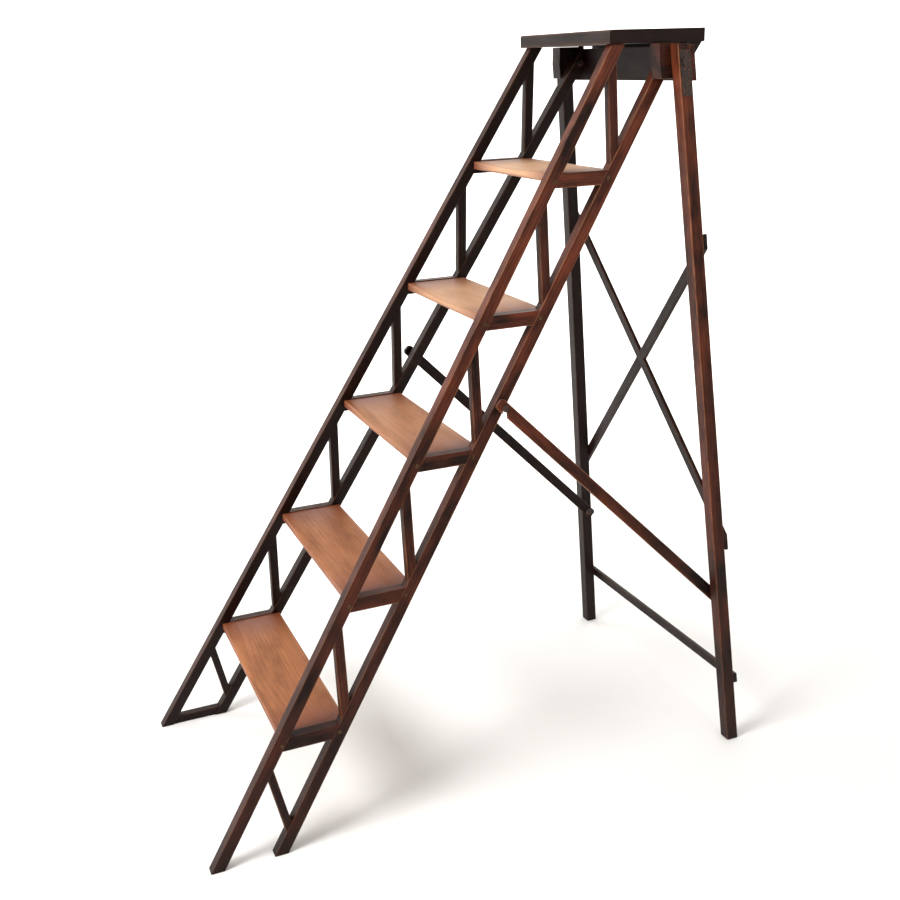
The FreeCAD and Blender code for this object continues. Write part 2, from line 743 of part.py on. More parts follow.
def stay_piece(name, side):
    """A stay: a flat lath, pivoted on the leg, with an open hook that drops over the stud."""
    run = stay_pivot_depth - stud_depth
    climb = (stud_height - stay_pivot_height) / cosine("rear_splay")
    reach = math.hypot(run, climb)
    along = FreeCAD.Vector(-run / reach, climb / reach, 0)
    spot = FreeCAD.Vector(stay_pivot_depth, stay_pivot_height / cosine("rear_splay"), 0)
    ends = "(Sizes.stay_end)"
    half = "(Sizes.stay_width / 2)"

    def corner(distance, offset, extra="0"):
        """A point by its distance along the stay from the pivot and its offset upwards from it."""
        base_x = spot.x + along.x * distance
        base_y = spot.y + along.y * distance
        return (f"{base_x} + {along.x} * ({extra}) + {along.y} * ({offset})",
                f"{base_y} + {along.y} * ({extra}) - {along.x} * ({offset})")

    body = new_body(f"stay_{name}", stay_place(side))
    sketch = new_sketch(body, f"stay_{name}_outline")
    clip = "Sizes.stay_corner"
    add_outline(sketch, [corner(0, f"-{half}", f"-{ends} + {clip}"),
                         corner(reach, f"-{half}", f"{ends} - {clip}"),
                         corner(reach, f"-{half} + {clip}", ends),
                         corner(reach, f"{half} - {clip}", ends),
                         corner(reach, half, f"{ends} - {clip}"),
                         corner(0, half, f"-{ends} + {clip}"),
                         corner(0, f"{half} - {clip}", f"-{ends}"),
                         corner(0, f"-{half} + {clip}", f"-{ends}")])
    extrude(body, sketch, "Pad", "Sizes.stay_thickness", symmetric=True)
    sketch = new_sketch(body, f"stay_{name}_pivot_hole")
    add_circle(sketch, str(spot.x), str(spot.y), "Sizes.bolt_radius + Sizes.running_clearance")
    cut(body, sketch, "Sizes.stay_thickness * 2", symmetric=True)
    sketch = new_sketch(body, f"stay_{name}_hook")
    stud_x = f"({stud_depth})"
    stud_y = f"({stud_height / cosine('rear_splay')})"
    gap = "(Sizes.stud_radius + Sizes.hook_clearance)"
    deep = "(Sizes.stay_width * 2)"
    mouth = f"({gap} + {deep} * tan(Sizes.hook_flare))"
    add_outline(sketch, [(f"{stud_x} - {mouth}", f"{stud_y} - {deep}"),
                         (f"{stud_x} + {mouth}", f"{stud_y} - {deep}"),
                         (f"{stud_x} + {gap}", stud_y), (f"{stud_x} - {gap}", stud_y)])
    cut(body, sketch, "Sizes.stay_thickness * 2", symmetric=True)
    sketch = new_sketch(body, f"stay_{name}_hook_round")
    add_circle(sketch, stud_x, stud_y, gap)
    cut(body, sketch, "Sizes.stay_thickness * 2", symmetric=True)


def stay_screw_place(side, inward):
    """On the stay's pivot axis, starting this far inwards of the stay's outer face."""
    shift = inward - size("stay_thickness") / 2
    middle = stay_middle - stay_pivot_height * tangent("rear_splay")
    across = side * (middle - shift * cosine("rear_splay"))
    height = stay_pivot_height - shift * sine("rear_splay")
    y_axis = (-sine("rear_splay"), 0, side * cosine("rear_splay"))
    return place(across, stay_pivot_depth, height, (0, 1, 0), y_axis)


def stay_screw_piece(name, side):
    """The coach screw that a stay turns on, driven into the leg's inner face."""
    inward = size("stay_thickness") + size("stay_gap")
    head = size("bolt_head_height")
    turned(f"stay_screw_{name}", stay_screw_place(side, inward + head),
           [(0, head, "Sizes.bolt_head_radius"),
            (head, inward + size("screw_length"), "Sizes.bolt_radius")])


def stay_washer_piece(name, side):
    thickness = size("washer_thickness")
    turned(f"stay_washer_{name}", stay_screw_place(side, -size("stay_gap")),
           [(0, thickness, "Sizes.washer_radius")], bore="Sizes.bolt_radius")


# ---------------------------------------------------------------- groups of screws

SCREW_RIM = 0.6       # thickness of a head's cylindrical rim, above its cone


def screw_solid(head, direction):
    """A countersunk wood screw: its head's centre and the way that its point faces."""
    radius = size("screw_head_radius")
    cone = radius - size("screw_radius")
    top = Part.makeCylinder(radius, SCREW_RIM, head - direction * SCREW_RIM, direction)
    neck = Part.makeCone(radius, size("screw_radius"), cone, head, direction)
    shank = Part.makeCylinder(size("screw_radius"), size("screw_length"), head, direction)
    return top.fuse([neck, shank]).removeSplitter()


def screw_group(label, spots):
    """Identical screws as one node of separate solids."""
    solids = []
    for (across, depth, height), direction in spots:
        head = FreeCAD.Vector(across, depth + DEPTH_SHIFT, height)
        solids.append(screw_solid(head, FreeCAD.Vector(*direction).normalize()))
    feature = doc.addObject("Part::Feature", label)
    feature.Label = label
    feature.Shape = Part.makeCompound(solids)
    pieces.append(feature)


def side_screw_spots():
    """Through the outer faces of the stiles, pinning the tenons of each bearer."""
    spots = []
    for side in SIDES.values():
        inward = (-side * cosine("side_taper"), 0, -sine("side_taper"))
        for number in range(1, TREADS + 1):
            top = size("first_tread") + (number - 1) * size("tread_rise")
            height = top - size("bearer_drop") / 2
            across = side * (stile_half_at(height) + size("stile_thickness") / 2)
            for depth in (size("pin_offset"), size("stile_gap") - size("pin_offset")):
                stile = height * tangent("stile_slope") + depth
                spots.append(((across, stile, height), inward))
    return spots


def platform_screw_spots():
    """Down through the platform into the tops of the stiles, with their heads sunk."""
    height = size("platform_height") - size("head_depth") - SCREW_RIM
    across = stile_half_at(stile_top)
    fore = stile_top * tangent("stile_slope")
    aft = fore + size("stile_gap") - size("back_screw_shift")
    spots = []
    for side in SIDES.values():
        for depth in (fore, aft):
            spots.append(((side * across, depth, height), (0, 0, -1)))
    return spots


def leg_at(height):
    return leg_top_half + (pivot_height - height) * tangent("rear_splay")


def rear_screw_spots():
    """Through the apron, the laths and the lower rail into the backs of the legs."""
    forward = (0, -cosine("rear_lean"), -sine("rear_lean"))
    apron_centre = (pivot_height + size("apron_above_pivot")
                    - size("apron_height") / 2)
    places = [(apron_centre + size("apron_height") / 4, "apron_thickness"),
              (apron_centre - size("apron_height") / 4, "apron_thickness"),
              (size("brace_high"), "lath_thickness"), (size("brace_low"), "lath_thickness"),
              (size("lower_rail_height"), "lath_thickness")]
    spots = []
    for height, thickness in places:
        back = (rear_foot_depth - height * tangent("rear_lean") + size("leg_depth") / 2
                + size(thickness))
        for side in SIDES.values():
            spots.append(((side * leg_at(height), back, height), forward))
    return spots


def brace_screw_spots():
    high = leg_at(size("brace_high"))
    low = leg_at(size("brace_low"))
    height = size("brace_low") + (size("brace_high") - size("brace_low")) * low / (high + low)
    back = (rear_foot_depth - height * tangent("rear_lean") + size("leg_depth") / 2
            + size("lath_thickness"))
    return [((0, back, height), (0, -cosine("rear_lean"), -sine("rear_lean")))]


# ---------------------------------------------------------------- build

def build_sides():
    for name, side in SIDES.items():
        front_stile_piece(name, side)
        back_stile_piece(name, side)
        low_strut_piece(name, side)
        pivot_block_piece(name, side)
        stay_stud_piece(name, side)
        for number in range(1, TREADS + 1):
            bearer_piece(name, side, number)
            strut_piece(name, side, number)
    foot_rail_piece()


def build_level_pieces():
    for number in range(1, TREADS + 1):
        tread_piece(number)
    platform_piece()
    batten_piece()


def build_back_frame():
    for name, side in SIDES.items():
        rear_leg_piece(name, side)
        leg_plate_piece(name, side)
        pivot_bolt_piece(name, side)
        pivot_nut_piece(name, side)
        stay_piece(name, side)
        stay_screw_piece(name, side)
        stay_washer_piece(name, side)
    apron_piece()
    brace_pieces()
    lower_rail_piece()


def check_document():
    for item in doc.Objects:
        if "Invalid" in item.State or "Error" in item.State:
            raise RuntimeError(f"{item.Label} failed: {item.State}")
    for piece in pieces:
        if piece.Shape.isNull() or not piece.Shape.isValid():
            raise RuntimeError(f"{piece.Label} has no valid shape")


def write_parts():
    os.makedirs("parts", exist_ok=True)
    for piece in pieces:
        piece.Shape.exportStep(os.path.join("parts", f"{piece.Label}.step"))


build_sides()
build_level_pieces()
build_back_frame()
screw_group("side_screws", side_screw_spots())
screw_group("platform_screws", platform_screw_spots())
screw_group("rear_frame_screws", rear_screw_spots())
doc.recompute()
check_document()
write_parts()
print(len(pieces), "pieces; main pivot depth", round(pivot_depth + DEPTH_SHIFT, 3),
      "stay pivot", round(stay_middle - stay_pivot_height * tangent("rear_splay"), 3),
      round(stay_pivot_depth + DEPTH_SHIFT, 3), stay_pivot_height,
      "feet", round(DEPTH_SHIFT, 3), round(rear_foot_depth + DEPTH_SHIFT, 3))
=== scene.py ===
import json
import math

import bmesh
import bpy
from bpy.props import FloatProperty, FloatVectorProperty, IntProperty, PointerProperty
from mathutils import Matrix, Vector


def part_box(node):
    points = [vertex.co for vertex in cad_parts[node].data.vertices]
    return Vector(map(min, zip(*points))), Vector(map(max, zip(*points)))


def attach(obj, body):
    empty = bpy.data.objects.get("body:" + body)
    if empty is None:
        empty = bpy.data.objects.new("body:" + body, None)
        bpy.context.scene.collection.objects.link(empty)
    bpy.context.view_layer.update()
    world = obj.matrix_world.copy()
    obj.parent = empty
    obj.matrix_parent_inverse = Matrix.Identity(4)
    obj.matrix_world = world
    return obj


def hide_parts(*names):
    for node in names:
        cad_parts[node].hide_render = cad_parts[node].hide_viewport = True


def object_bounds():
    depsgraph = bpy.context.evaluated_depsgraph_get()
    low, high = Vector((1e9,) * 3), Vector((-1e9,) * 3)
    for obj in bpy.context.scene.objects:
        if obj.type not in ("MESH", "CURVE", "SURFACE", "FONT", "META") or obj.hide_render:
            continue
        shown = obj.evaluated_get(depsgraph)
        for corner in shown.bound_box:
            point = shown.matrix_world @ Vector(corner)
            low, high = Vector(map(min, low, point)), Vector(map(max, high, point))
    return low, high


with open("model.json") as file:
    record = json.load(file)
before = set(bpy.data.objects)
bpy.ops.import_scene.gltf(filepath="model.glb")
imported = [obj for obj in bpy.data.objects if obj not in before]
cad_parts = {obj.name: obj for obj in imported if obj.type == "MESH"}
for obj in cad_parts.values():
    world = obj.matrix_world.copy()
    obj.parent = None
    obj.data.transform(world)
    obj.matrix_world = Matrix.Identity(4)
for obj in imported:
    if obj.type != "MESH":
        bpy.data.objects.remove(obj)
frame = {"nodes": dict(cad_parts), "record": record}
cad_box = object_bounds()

bl_info = {
    "name": "Lattice Step Ladder",
    "version": (1, 0, 0),
    "blender": (4, 5, 0),
    "location": "3D View > Sidebar > Ladder",
    "description": "Dresses a folding lattice step ladder: worn varnish, bare treads, screws and ironwork",
    "category": "Object",
}

BODY_OF = {
    node: body
    for body, nodes in frame["record"]["behaviour"]["bodies"].items()
    for node in nodes
}
SIDES = ("left", "right")
TREADS = [f"tread_{step}" for step in range(1, 6)]
STRUTS = [f"strut_{step}_{side}" for step in range(1, 7) for side in SIDES]
SHARP_ANGLE = math.radians(38)      # corners sharper than this stay crisp
FLAT_ANGLE = math.radians(1)        # faces that turn less than this are one face
CORNER_ANGLE = 0.6                  # radians: an edge that turns more than this is a corner
SQUARE_ANGLE = 1.2                  # radians: an edge that turns more than this is square
SHORT_EDGE = 0.02                   # metres: shorter edges belong to a rounding
SAME_POINT = 0.000002               # metres: corners closer than this are one corner
SAME_PLANE = 0.001                  # metres: how near a corner lies to a board's own face

# Pieces painted darker as painted shade, where little light reaches them, and how far each is pulled to
# the deep varnish colour.
PAINTED_DARK_PIECES = {
    "platform": 0.93, "platform_batten": 0.95, "pivot_block_right": 0.6, "pivot_block_left": 0.95,
    "apron_rail": 0.2, "lower_rail": 0.95, "brace_lath_rising_left": 0.9,
    "brace_lath_rising_right": 0.97, "rear_leg_left": 0.95, "stay_left": 0.9,
    "back_stile_left": 0.93, "front_stile_left": 0.5, "foot_rail_left": 0.8,
}


def linear(colour):
    """An sRGB hex value as the linear colour that Blender mixes with."""
    channels = [int(colour[at : at + 2], 16) / 255 for at in (1, 3, 5)]
    return tuple(c / 12.92 if c <= 0.04045 else ((c + 0.055) / 1.055) ** 2.4 for c in channels)


# ---------------------------------------------------------------- sizes and colours


class LadderSizes(bpy.types.PropertyGroup):
    """Small sizes that wear and tooling give the ladder, on top of its frame."""

    member_arris: FloatProperty(
        name="Member Arris",
        description="How far the long corners of the frame members are rubbed round",
        default=0.0013, min=0.0002, max=0.004, subtype="DISTANCE", unit="LENGTH",
    )
    tread_arris: FloatProperty(
        name="Tread Arris",
        description="Round on the long corners of a tread",
        default=0.0028, min=0.0005, max=0.006, subtype="DISTANCE", unit="LENGTH",
    )
    tread_hollow: FloatProperty(
        name="Tread Hollow",
        description="How deep boots have worn the middle of a tread",
        default=0.0014, min=0.0, max=0.004, subtype="DISTANCE", unit="LENGTH",
    )
    nose_wear: FloatProperty(
        name="Nose Wear",
        description="How much lower the front corner of a tread is worn in its middle",
        default=0.0016, min=0.0, max=0.004, subtype="DISTANCE", unit="LENGTH",
    )
    platform_nose: FloatProperty(
        name="Platform Nose",
        description="Round on the front top corner of the platform",
        default=0.004, min=0.001, max=0.008, subtype="DISTANCE", unit="LENGTH",
    )
    iron_arris: FloatProperty(
        name="Iron Arris",
        description="Filed round on the corners of straps, bolts and nuts",
        default=0.0004, min=0.0001, max=0.001, subtype="DISTANCE", unit="LENGTH",
    )
    screw_head_radius: FloatProperty(
        name="Screw Head Radius", description="Half the width of a screw head",
        default=0.0038, min=0.002, max=0.006, subtype="DISTANCE", unit="LENGTH",
    )
    screw_head_depth: FloatProperty(
        name="Screw Head Depth", description="Thickness of a screw head at its rim",
        default=0.001, min=0.0005, max=0.003, subtype="DISTANCE", unit="LENGTH",
    )
    screw_shank_radius: FloatProperty(
        name="Screw Shank Radius", description="Half the thickness of a screw below its head",
        default=0.0018, min=0.001, max=0.003, subtype="DISTANCE", unit="LENGTH",
    )
    screw_length: FloatProperty(
        name="Screw Length", description="Length of a screw with its head",
        default=0.015, min=0.005, max=0.04, subtype="DISTANCE", unit="LENGTH",
    )
    slot_width: FloatProperty(
        name="Screw Slot Width",
        description="Width of the driver slot in a screw head",
        default=0.0010, min=0.0004, max=0.002, subtype="DISTANCE", unit="LENGTH",
    )
    slot_depth: FloatProperty(
        name="Screw Slot Depth",
        description="Depth of the driver slot in a screw head",
        default=0.0006, min=0.0002, max=0.001, subtype="DISTANCE", unit="LENGTH",
    )
    # Painted shade: how much the struts of each side are darkened, the left ones, on the far side, most.
    strut_stain_left: FloatProperty(
        name="Strut Stain, Left", description="Share of the first dark stain on the left struts",
        default=0.93, min=0, max=1, subtype="FACTOR",
    )
    strut_stain_right: FloatProperty(
        name="Strut Stain, Right", description="Share of the first dark stain on the right struts",
        default=0.5, min=0, max=1, subtype="FACTOR",
    )
    slot_seed: IntProperty(
        name="Slot Seed",
        description="Fixes which way each screw slot was left pointing",
        default=7, min=0,
    )


class LadderColours(bpy.types.PropertyGroup):
    """Colours of the ladder's finishes."""

    varnish_deep: FloatVectorProperty(
        name="Varnish, Deep", description="Stained pine where the varnish lies thick",
        default=linear("#120604"), size=3, min=0, max=1, subtype="COLOR",
    )
    varnish_clear: FloatVectorProperty(
        name="Varnish, Clear", description="Stained pine where the varnish lies thin",
        default=linear("#6c331e"), size=3, min=0, max=1, subtype="COLOR",
    )
    # Also stands in as a painted highlight along the corners.
    varnish_rubbed: FloatVectorProperty(
        name="Varnish, Rubbed", description="Wood showing where hands have rubbed a corner",
        default=linear("#a06a48"), size=3, min=0, max=1, subtype="COLOR",
    )
    tread_pale: FloatVectorProperty(
        name="Tread, Pale", description="Bare early wood of a tread",
        default=linear("#a4622f"), size=3, min=0, max=1, subtype="COLOR",
    )
    tread_dark: FloatVectorProperty(
        name="Tread, Dark", description="Bare late wood of a tread",
        default=linear("#733e1a"), size=3, min=0, max=1, subtype="COLOR",
    )
    iron: FloatVectorProperty(
        name="Iron", description="Browned wrought iron",
        default=linear("#3b3532"), size=3, min=0, max=1, subtype="COLOR",
    )
    rust: FloatVectorProperty(
        name="Rust", description="Rust in the hollows of the iron",
        default=linear("#5b3423"), size=3, min=0, max=1, subtype="COLOR",
    )
    # Painted sheen: the pale grey-pink that the highest treads are painted for their grazing reflection.
    tread_scrubbed: FloatVectorProperty(
        name="Tread, Scrubbed", description="Dry grey-pink wood of the highest treads",
        default=linear("#d0a47e"), size=3, min=0, max=1, subtype="COLOR",
    )
    tread_stain: FloatVectorProperty(
        name="Tread, Stain", description="Boot grease in patches on a tread",
        default=linear("#613418"), size=3, min=0, max=1, subtype="COLOR",
    )
    # Also the colour of the painted highlight along the platform's front top corner.
    platform_bare: FloatVectorProperty(
        name="Platform, Bare", description="Wood showing through the platform's varnish",
        default=linear("#b08872"), size=3, min=0, max=1, subtype="COLOR",
    )
    brass: FloatVectorProperty(
        name="Brass", description="Tarnished brass of the screw heads",
        default=linear("#604b31"), size=3, min=0, max=1, subtype="COLOR",
    )
    tarnish: FloatVectorProperty(
        name="Tarnish", description="Brown tarnish over the brass",
        default=linear("#33271b"), size=3, min=0, max=1, subtype="COLOR",
    )
    floor: FloatVectorProperty(
        name="Floor", description="Painted studio floor",
        default=linear("#f4f2ef"), size=3, min=0, max=1, subtype="COLOR",
    )
    floor_cloud: FloatVectorProperty(
        name="Floor, Clouded", description="Faint clouds that a roller leaves in the floor's paint",
        default=linear("#efedea"), size=3, min=0, max=1, subtype="COLOR",
    )


class LadderStage(bpy.types.PropertyGroup):
    """Where the camera stands, from the middle of the ladder's footprint, and the sky's light."""

    stand_right: FloatProperty(
        name="Camera Right", description="Camera's distance to the ladder's right",
        default=2.14128, subtype="DISTANCE", unit="LENGTH",
    )
    stand_front: FloatProperty(
        name="Camera Front", description="Camera's distance in front of the ladder's middle",
        default=0.81937, subtype="DISTANCE", unit="LENGTH",
    )
    eye_height: FloatProperty(
        name="Eye Height", description="Camera's height above the floor",
        default=1.44992, subtype="DISTANCE", unit="LENGTH",
    )
    heading: FloatProperty(
        name="Heading", description="Turn of the view from straight at the front",
        default=math.radians(67.952), subtype="ANGLE", unit="ROTATION",
    )
    dip: FloatProperty(
        name="Dip", description="Tilt of the view below the horizon",
        default=math.radians(18.964), subtype="ANGLE", unit="ROTATION",
    )
    roll: FloatProperty(
        name="Roll", description="Turn of the picture about the line of sight",
        default=math.radians(-1.862), subtype="ANGLE", unit="ROTATION",
    )
    lens: FloatProperty(
        name="Lens", description="Focal length in millimetres on a 36 mm wide picture",
        default=45.819, min=10, max=200,
    )
    shift_right: FloatProperty(
        name="Shift Right", description="Sideways shift of the lens, in picture widths",
        default=0.001, min=-0.1, max=0.1,
    )
    shift_up: FloatProperty(
        name="Shift Up", description="Upward shift of the lens, in picture widths",
        default=0.0038, min=-0.1, max=0.1,
    )
    sky_strength: FloatProperty(
        name="Sky Strength", description="Brightness of the even light from all round",
        default=0.3, min=0, max=2,
    )


# ---------------------------------------------------------------- nodes


def add_node(tree, kind, inputs=None, **settings):
    """Adds a node. An input is a value, a node for its first output, or (node, output name)."""
    node = tree.nodes.new(kind)
    for name, value in settings.items():
        setattr(node, name, value)
    for key, value in (inputs or {}).items():
        open_sockets = [socket for socket in node.inputs if socket.enabled]
        if isinstance(key, int):
            socket = open_sockets[key]
        else:
            socket = next(s for s in open_sockets if s.name == key)
        if isinstance(value, bpy.types.Node):
            value = (value, None)
        if isinstance(value, tuple) and isinstance(value[0], bpy.types.Node):
            source, name = value
            given = next(s for s in source.outputs if s.enabled and name in (None, s.name))
            tree.links.new(given, socket)
        else:
            socket.default_value = value
    return node


# ---------------------------------------------------------------- finishes


def new_finish(name):
    """An empty material with its surface shader, ready for the pattern nodes."""
    finish = bpy.data.materials.new(name)
    finish.use_nodes = True
    finish.node_tree.nodes.clear()
    shader = add_node(finish.node_tree, "ShaderNodeBsdfPrincipled")
    add_node(finish.node_tree, "ShaderNodeOutputMaterial", {"Surface": shader})
    return finish, finish.node_tree, shader


def join(tree, node, shader, socket):
    """Links a pattern node's first open output to a socket of the shader."""
    given = next(output for output in node.outputs if output.enabled)
    tree.links.new(given, shader.inputs[socket])


def growth_figure(tree, ring_gap, streak):
    """Growth rings, fibres and blotches that run along a piece by its stored grain place.

    ring_gap is the width of a year's growth in metres. streak is how many fibre streaks there are
    in a metre, along the piece and in its two directions across.
    """
    place = add_node(tree, "ShaderNodeAttribute", attribute_name="grain_place")
    drawn = add_node(tree, "ShaderNodeVectorMath", {0: (place, "Vector"), 1: (1.6, 9, 9)},
                     operation="MULTIPLY")
    wander = add_node(tree, "ShaderNodeTexNoise", {"Vector": drawn, "Scale": 1.0, "Detail": 2.0})
    centred = add_node(tree, "ShaderNodeVectorMath", {0: (wander, "Color"), 1: (0.5, 0.5, 0.5)},
                       operation="SUBTRACT")
    bent = add_node(tree, "ShaderNodeVectorMath",
                    {0: centred, 1: (0.034, 0.034, 0.034), 2: (place, "Vector")},
                    operation="MULTIPLY_ADD")
    # The heart of the tree lies a few centimetres outside the stick.
    from_heart = add_node(tree, "ShaderNodeVectorMath", {0: bent, 1: (0, 1, 1), 2: (0, 0.052, 0.03)},
                          operation="MULTIPLY_ADD")
    radius = add_node(tree, "ShaderNodeVectorMath", {0: from_heart}, operation="LENGTH")
    count = add_node(tree, "ShaderNodeMath", {0: (radius, "Value"), 1: ring_gap}, operation="DIVIDE")
    year = add_node(tree, "ShaderNodeMath", {0: count}, operation="FRACT")
    late = add_node(tree, "ShaderNodeMath", {0: year, 1: 2.2}, operation="POWER")
    fine = add_node(tree, "ShaderNodeVectorMath", {0: (place, "Vector"), 1: streak},
                    operation="MULTIPLY")
    fibres = add_node(tree, "ShaderNodeTexNoise", {"Vector": fine, "Scale": 1.0, "Detail": 3.0,
                                                   "Roughness": 0.6})
    broad = add_node(tree, "ShaderNodeVectorMath", {0: (place, "Vector"), 1: (7, 26, 26)},
                     operation="MULTIPLY")
    blotches = add_node(tree, "ShaderNodeTexNoise", {"Vector": broad, "Scale": 1.0, "Detail": 4.0,
                                                     "Roughness": 0.6})
    return late, fibres, blotches


def rubbed_corners(tree, width, raggedness):
    """1 on a piece's arrises and 0 on its faces, from its stored place in its section.

    width is how far the rubbing fades in from the arris, and raggedness how far its edge wanders,
    both in metres. The depths below each face and the place in the section come back too.
    """
    place = add_node(tree, "ShaderNodeAttribute", attribute_name="arris_place")
    half = add_node(tree, "ShaderNodeAttribute", attribute_name="arris_half")
    inside = add_node(tree, "ShaderNodeVectorMath", {0: (place, "Vector")}, operation="ABSOLUTE")
    depth = add_node(tree, "ShaderNodeVectorMath", {0: (half, "Vector"), 1: inside},
                     operation="SUBTRACT")
    parts = add_node(tree, "ShaderNodeSeparateXYZ", {0: depth})
    away = add_node(tree, "ShaderNodeMath", {0: (parts, "X"), 1: (parts, "Y")}, operation="MAXIMUM")
    ragged = add_node(tree, "ShaderNodeVectorMath", {0: (place, "Vector"), 1: (160, 160, 24)},
                      operation="MULTIPLY")
    noise = add_node(tree, "ShaderNodeTexNoise", {"Vector": ragged, "Scale": 1.0, "Detail": 4.0,
                                                  "Roughness": 0.65})
    broken = add_node(tree, "ShaderNodeMath", {0: noise, 1: raggedness, 2: away},
                      operation="MULTIPLY_ADD")
    return add_node(tree, "ShaderNodeMapRange", {
        "Value": broken, "From Min": raggedness * 0.42, "From Max": raggedness * 0.42 + width,
        "To Min": 1.0, "To Max": 0.0}), parts, place


def varnish_layers(tree, shader, colours, rub_width, rub_share):
    """Stain, rings and streaks under varnish, darker on the inner faces and on chosen pieces as painted
    shade, darker low down, and pale at the arrises, partly rubbed and partly a painted highlight.

    Gives the colour so far, the fibres, the blotches, and where a spot lies across the section and
    along the piece, from -1 to 1, for a finish that goes on from there.
    """
    late, fibres, blotches = growth_figure(tree, ring_gap=0.0042, streak=(14, 620, 620))
    rubbed, _, place = rubbed_corners(tree, width=rub_width, raggedness=0.006)
    tone = add_node(tree, "ShaderNodeMapRange", {
        "Value": blotches, "From Min": 0.36, "From Max": 0.66, "To Min": 0.0, "To Max": 1.0})
    deep = (*colours.varnish_deep, 1)
    clear = (*colours.varnish_clear, 1)
    body = add_node(tree, "ShaderNodeMix", {"Factor": tone, "A": deep, "B": clear}, data_type="RGBA")
    ring_share = add_node(tree, "ShaderNodeMath", {0: late, 1: 0.5}, operation="MULTIPLY")
    ringed = add_node(tree, "ShaderNodeMix", {"Factor": ring_share, "A": body, "B": deep},
                      data_type="RGBA")
    streaks = add_node(tree, "ShaderNodeMapRange", {
        "Value": fibres, "From Min": 0.5, "From Max": 0.8, "To Min": 0.0, "To Max": 0.6})
    streaked = add_node(tree, "ShaderNodeMix", {"Factor": streaks, "A": ringed, "B": clear},
                        data_type="RGBA")
    # The face turned to the ladder's middle is painted dark: painted shade, standing in for the shadow
    # that those faces are seen in.
    half = add_node(tree, "ShaderNodeAttribute", attribute_name="arris_half")
    share_out = add_node(tree, "ShaderNodeVectorMath", {0: (place, "Vector"), 1: (half, "Vector")},
                         operation="DIVIDE")
    sides = add_node(tree, "ShaderNodeSeparateXYZ", {0: share_out})
    inner = add_node(tree, "ShaderNodeMapRange", {
        "Value": (sides, "X"), "From Min": -0.7, "From Max": -0.95, "To Min": 0.0, "To Max": 0.96})
    # Dirt from floors and boots darkens the feet, and fades out at about waist height.
    spot = add_node(tree, "ShaderNodeTexCoord")
    level = add_node(tree, "ShaderNodeSeparateXYZ", {0: (spot, "Object")})
    cloudy = add_node(tree, "ShaderNodeMath", {0: blotches, 1: 0.25, 2: (level, "Z")},
                      operation="MULTIPLY_ADD")
    low = add_node(tree, "ShaderNodeMapRange", {
        "Value": cloudy, "From Min": 0.15, "From Max": 1.15, "To Min": 0.85, "To Max": 0.0})
    # The darker of the painted shade on the inner faces and the dirt low down.
    inner_shade_and_low_dirt = add_node(tree, "ShaderNodeMath", {0: inner, 1: low}, operation="MAXIMUM")
    # Painted shade per piece: how far each piece seen in shadow is darkened.
    painted_shade = add_node(tree, "ShaderNodeAttribute", attribute_name="shade_darkening")
    dark = add_node(tree, "ShaderNodeMath", {0: inner_shade_and_low_dirt, 1: (painted_shade, "Fac")}, operation="MAXIMUM")
    shaded = add_node(tree, "ShaderNodeMix", {"Factor": dark, "A": streaked, "B": deep},
                      data_type="RGBA")
    # Paler corners: partly wood rubbed bare, partly a painted highlight.
    share = add_node(tree, "ShaderNodeMath", {0: rubbed, 1: rub_share}, operation="MULTIPLY")
    less = add_node(tree, "ShaderNodeMath", {0: dark, 1: -0.85, 2: 1.0}, operation="MULTIPLY_ADD")
    kept = add_node(tree, "ShaderNodeMath", {0: share, 1: less}, operation="MULTIPLY")
    worn = add_node(tree, "ShaderNodeMix", {"Factor": kept, "A": shaded,
                                            "B": (*colours.varnish_rubbed, 1)}, data_type="RGBA")
    dull = add_node(tree, "ShaderNodeMapRange", {
        "Value": blotches, "From Min": 0.3, "From Max": 0.7, "To Min": 0.52, "To Max": 0.36})
    rough = add_node(tree, "ShaderNodeMath", {0: kept, 1: 0.2, 2: dull}, operation="MULTIPLY_ADD")
    join(tree, rough, shader, "Roughness")
    relief = add_node(tree, "ShaderNodeMath", {0: late, 1: 0.5, 2: fibres}, operation="MULTIPLY_ADD")
    bump = add_node(tree, "ShaderNodeBump", {"Height": relief, "Strength": 0.4, "Distance": 0.0004})
    join(tree, bump, shader, "Normal")
    shader.inputs["Specular IOR Level"].default_value = 0.15
    return worn, fibres, blotches, sides


def stained_varnished_pine(colours):
    """Stained pine under brushed spirit varnish."""
    # Pine darkened with stain and brushed varnish: a deep red-brown with faint streaks along
    # each stick, a soft shine, and paler corners, partly wood rubbed by hands and ropes and partly a
    # painted highlight.
    finish, tree, shader = new_finish("stained_varnished_pine")
    worn = varnish_layers(tree, shader, colours, rub_width=0.0028, rub_share=0.8)[0]
    join(tree, worn, shader, "Base Color")
    return finish


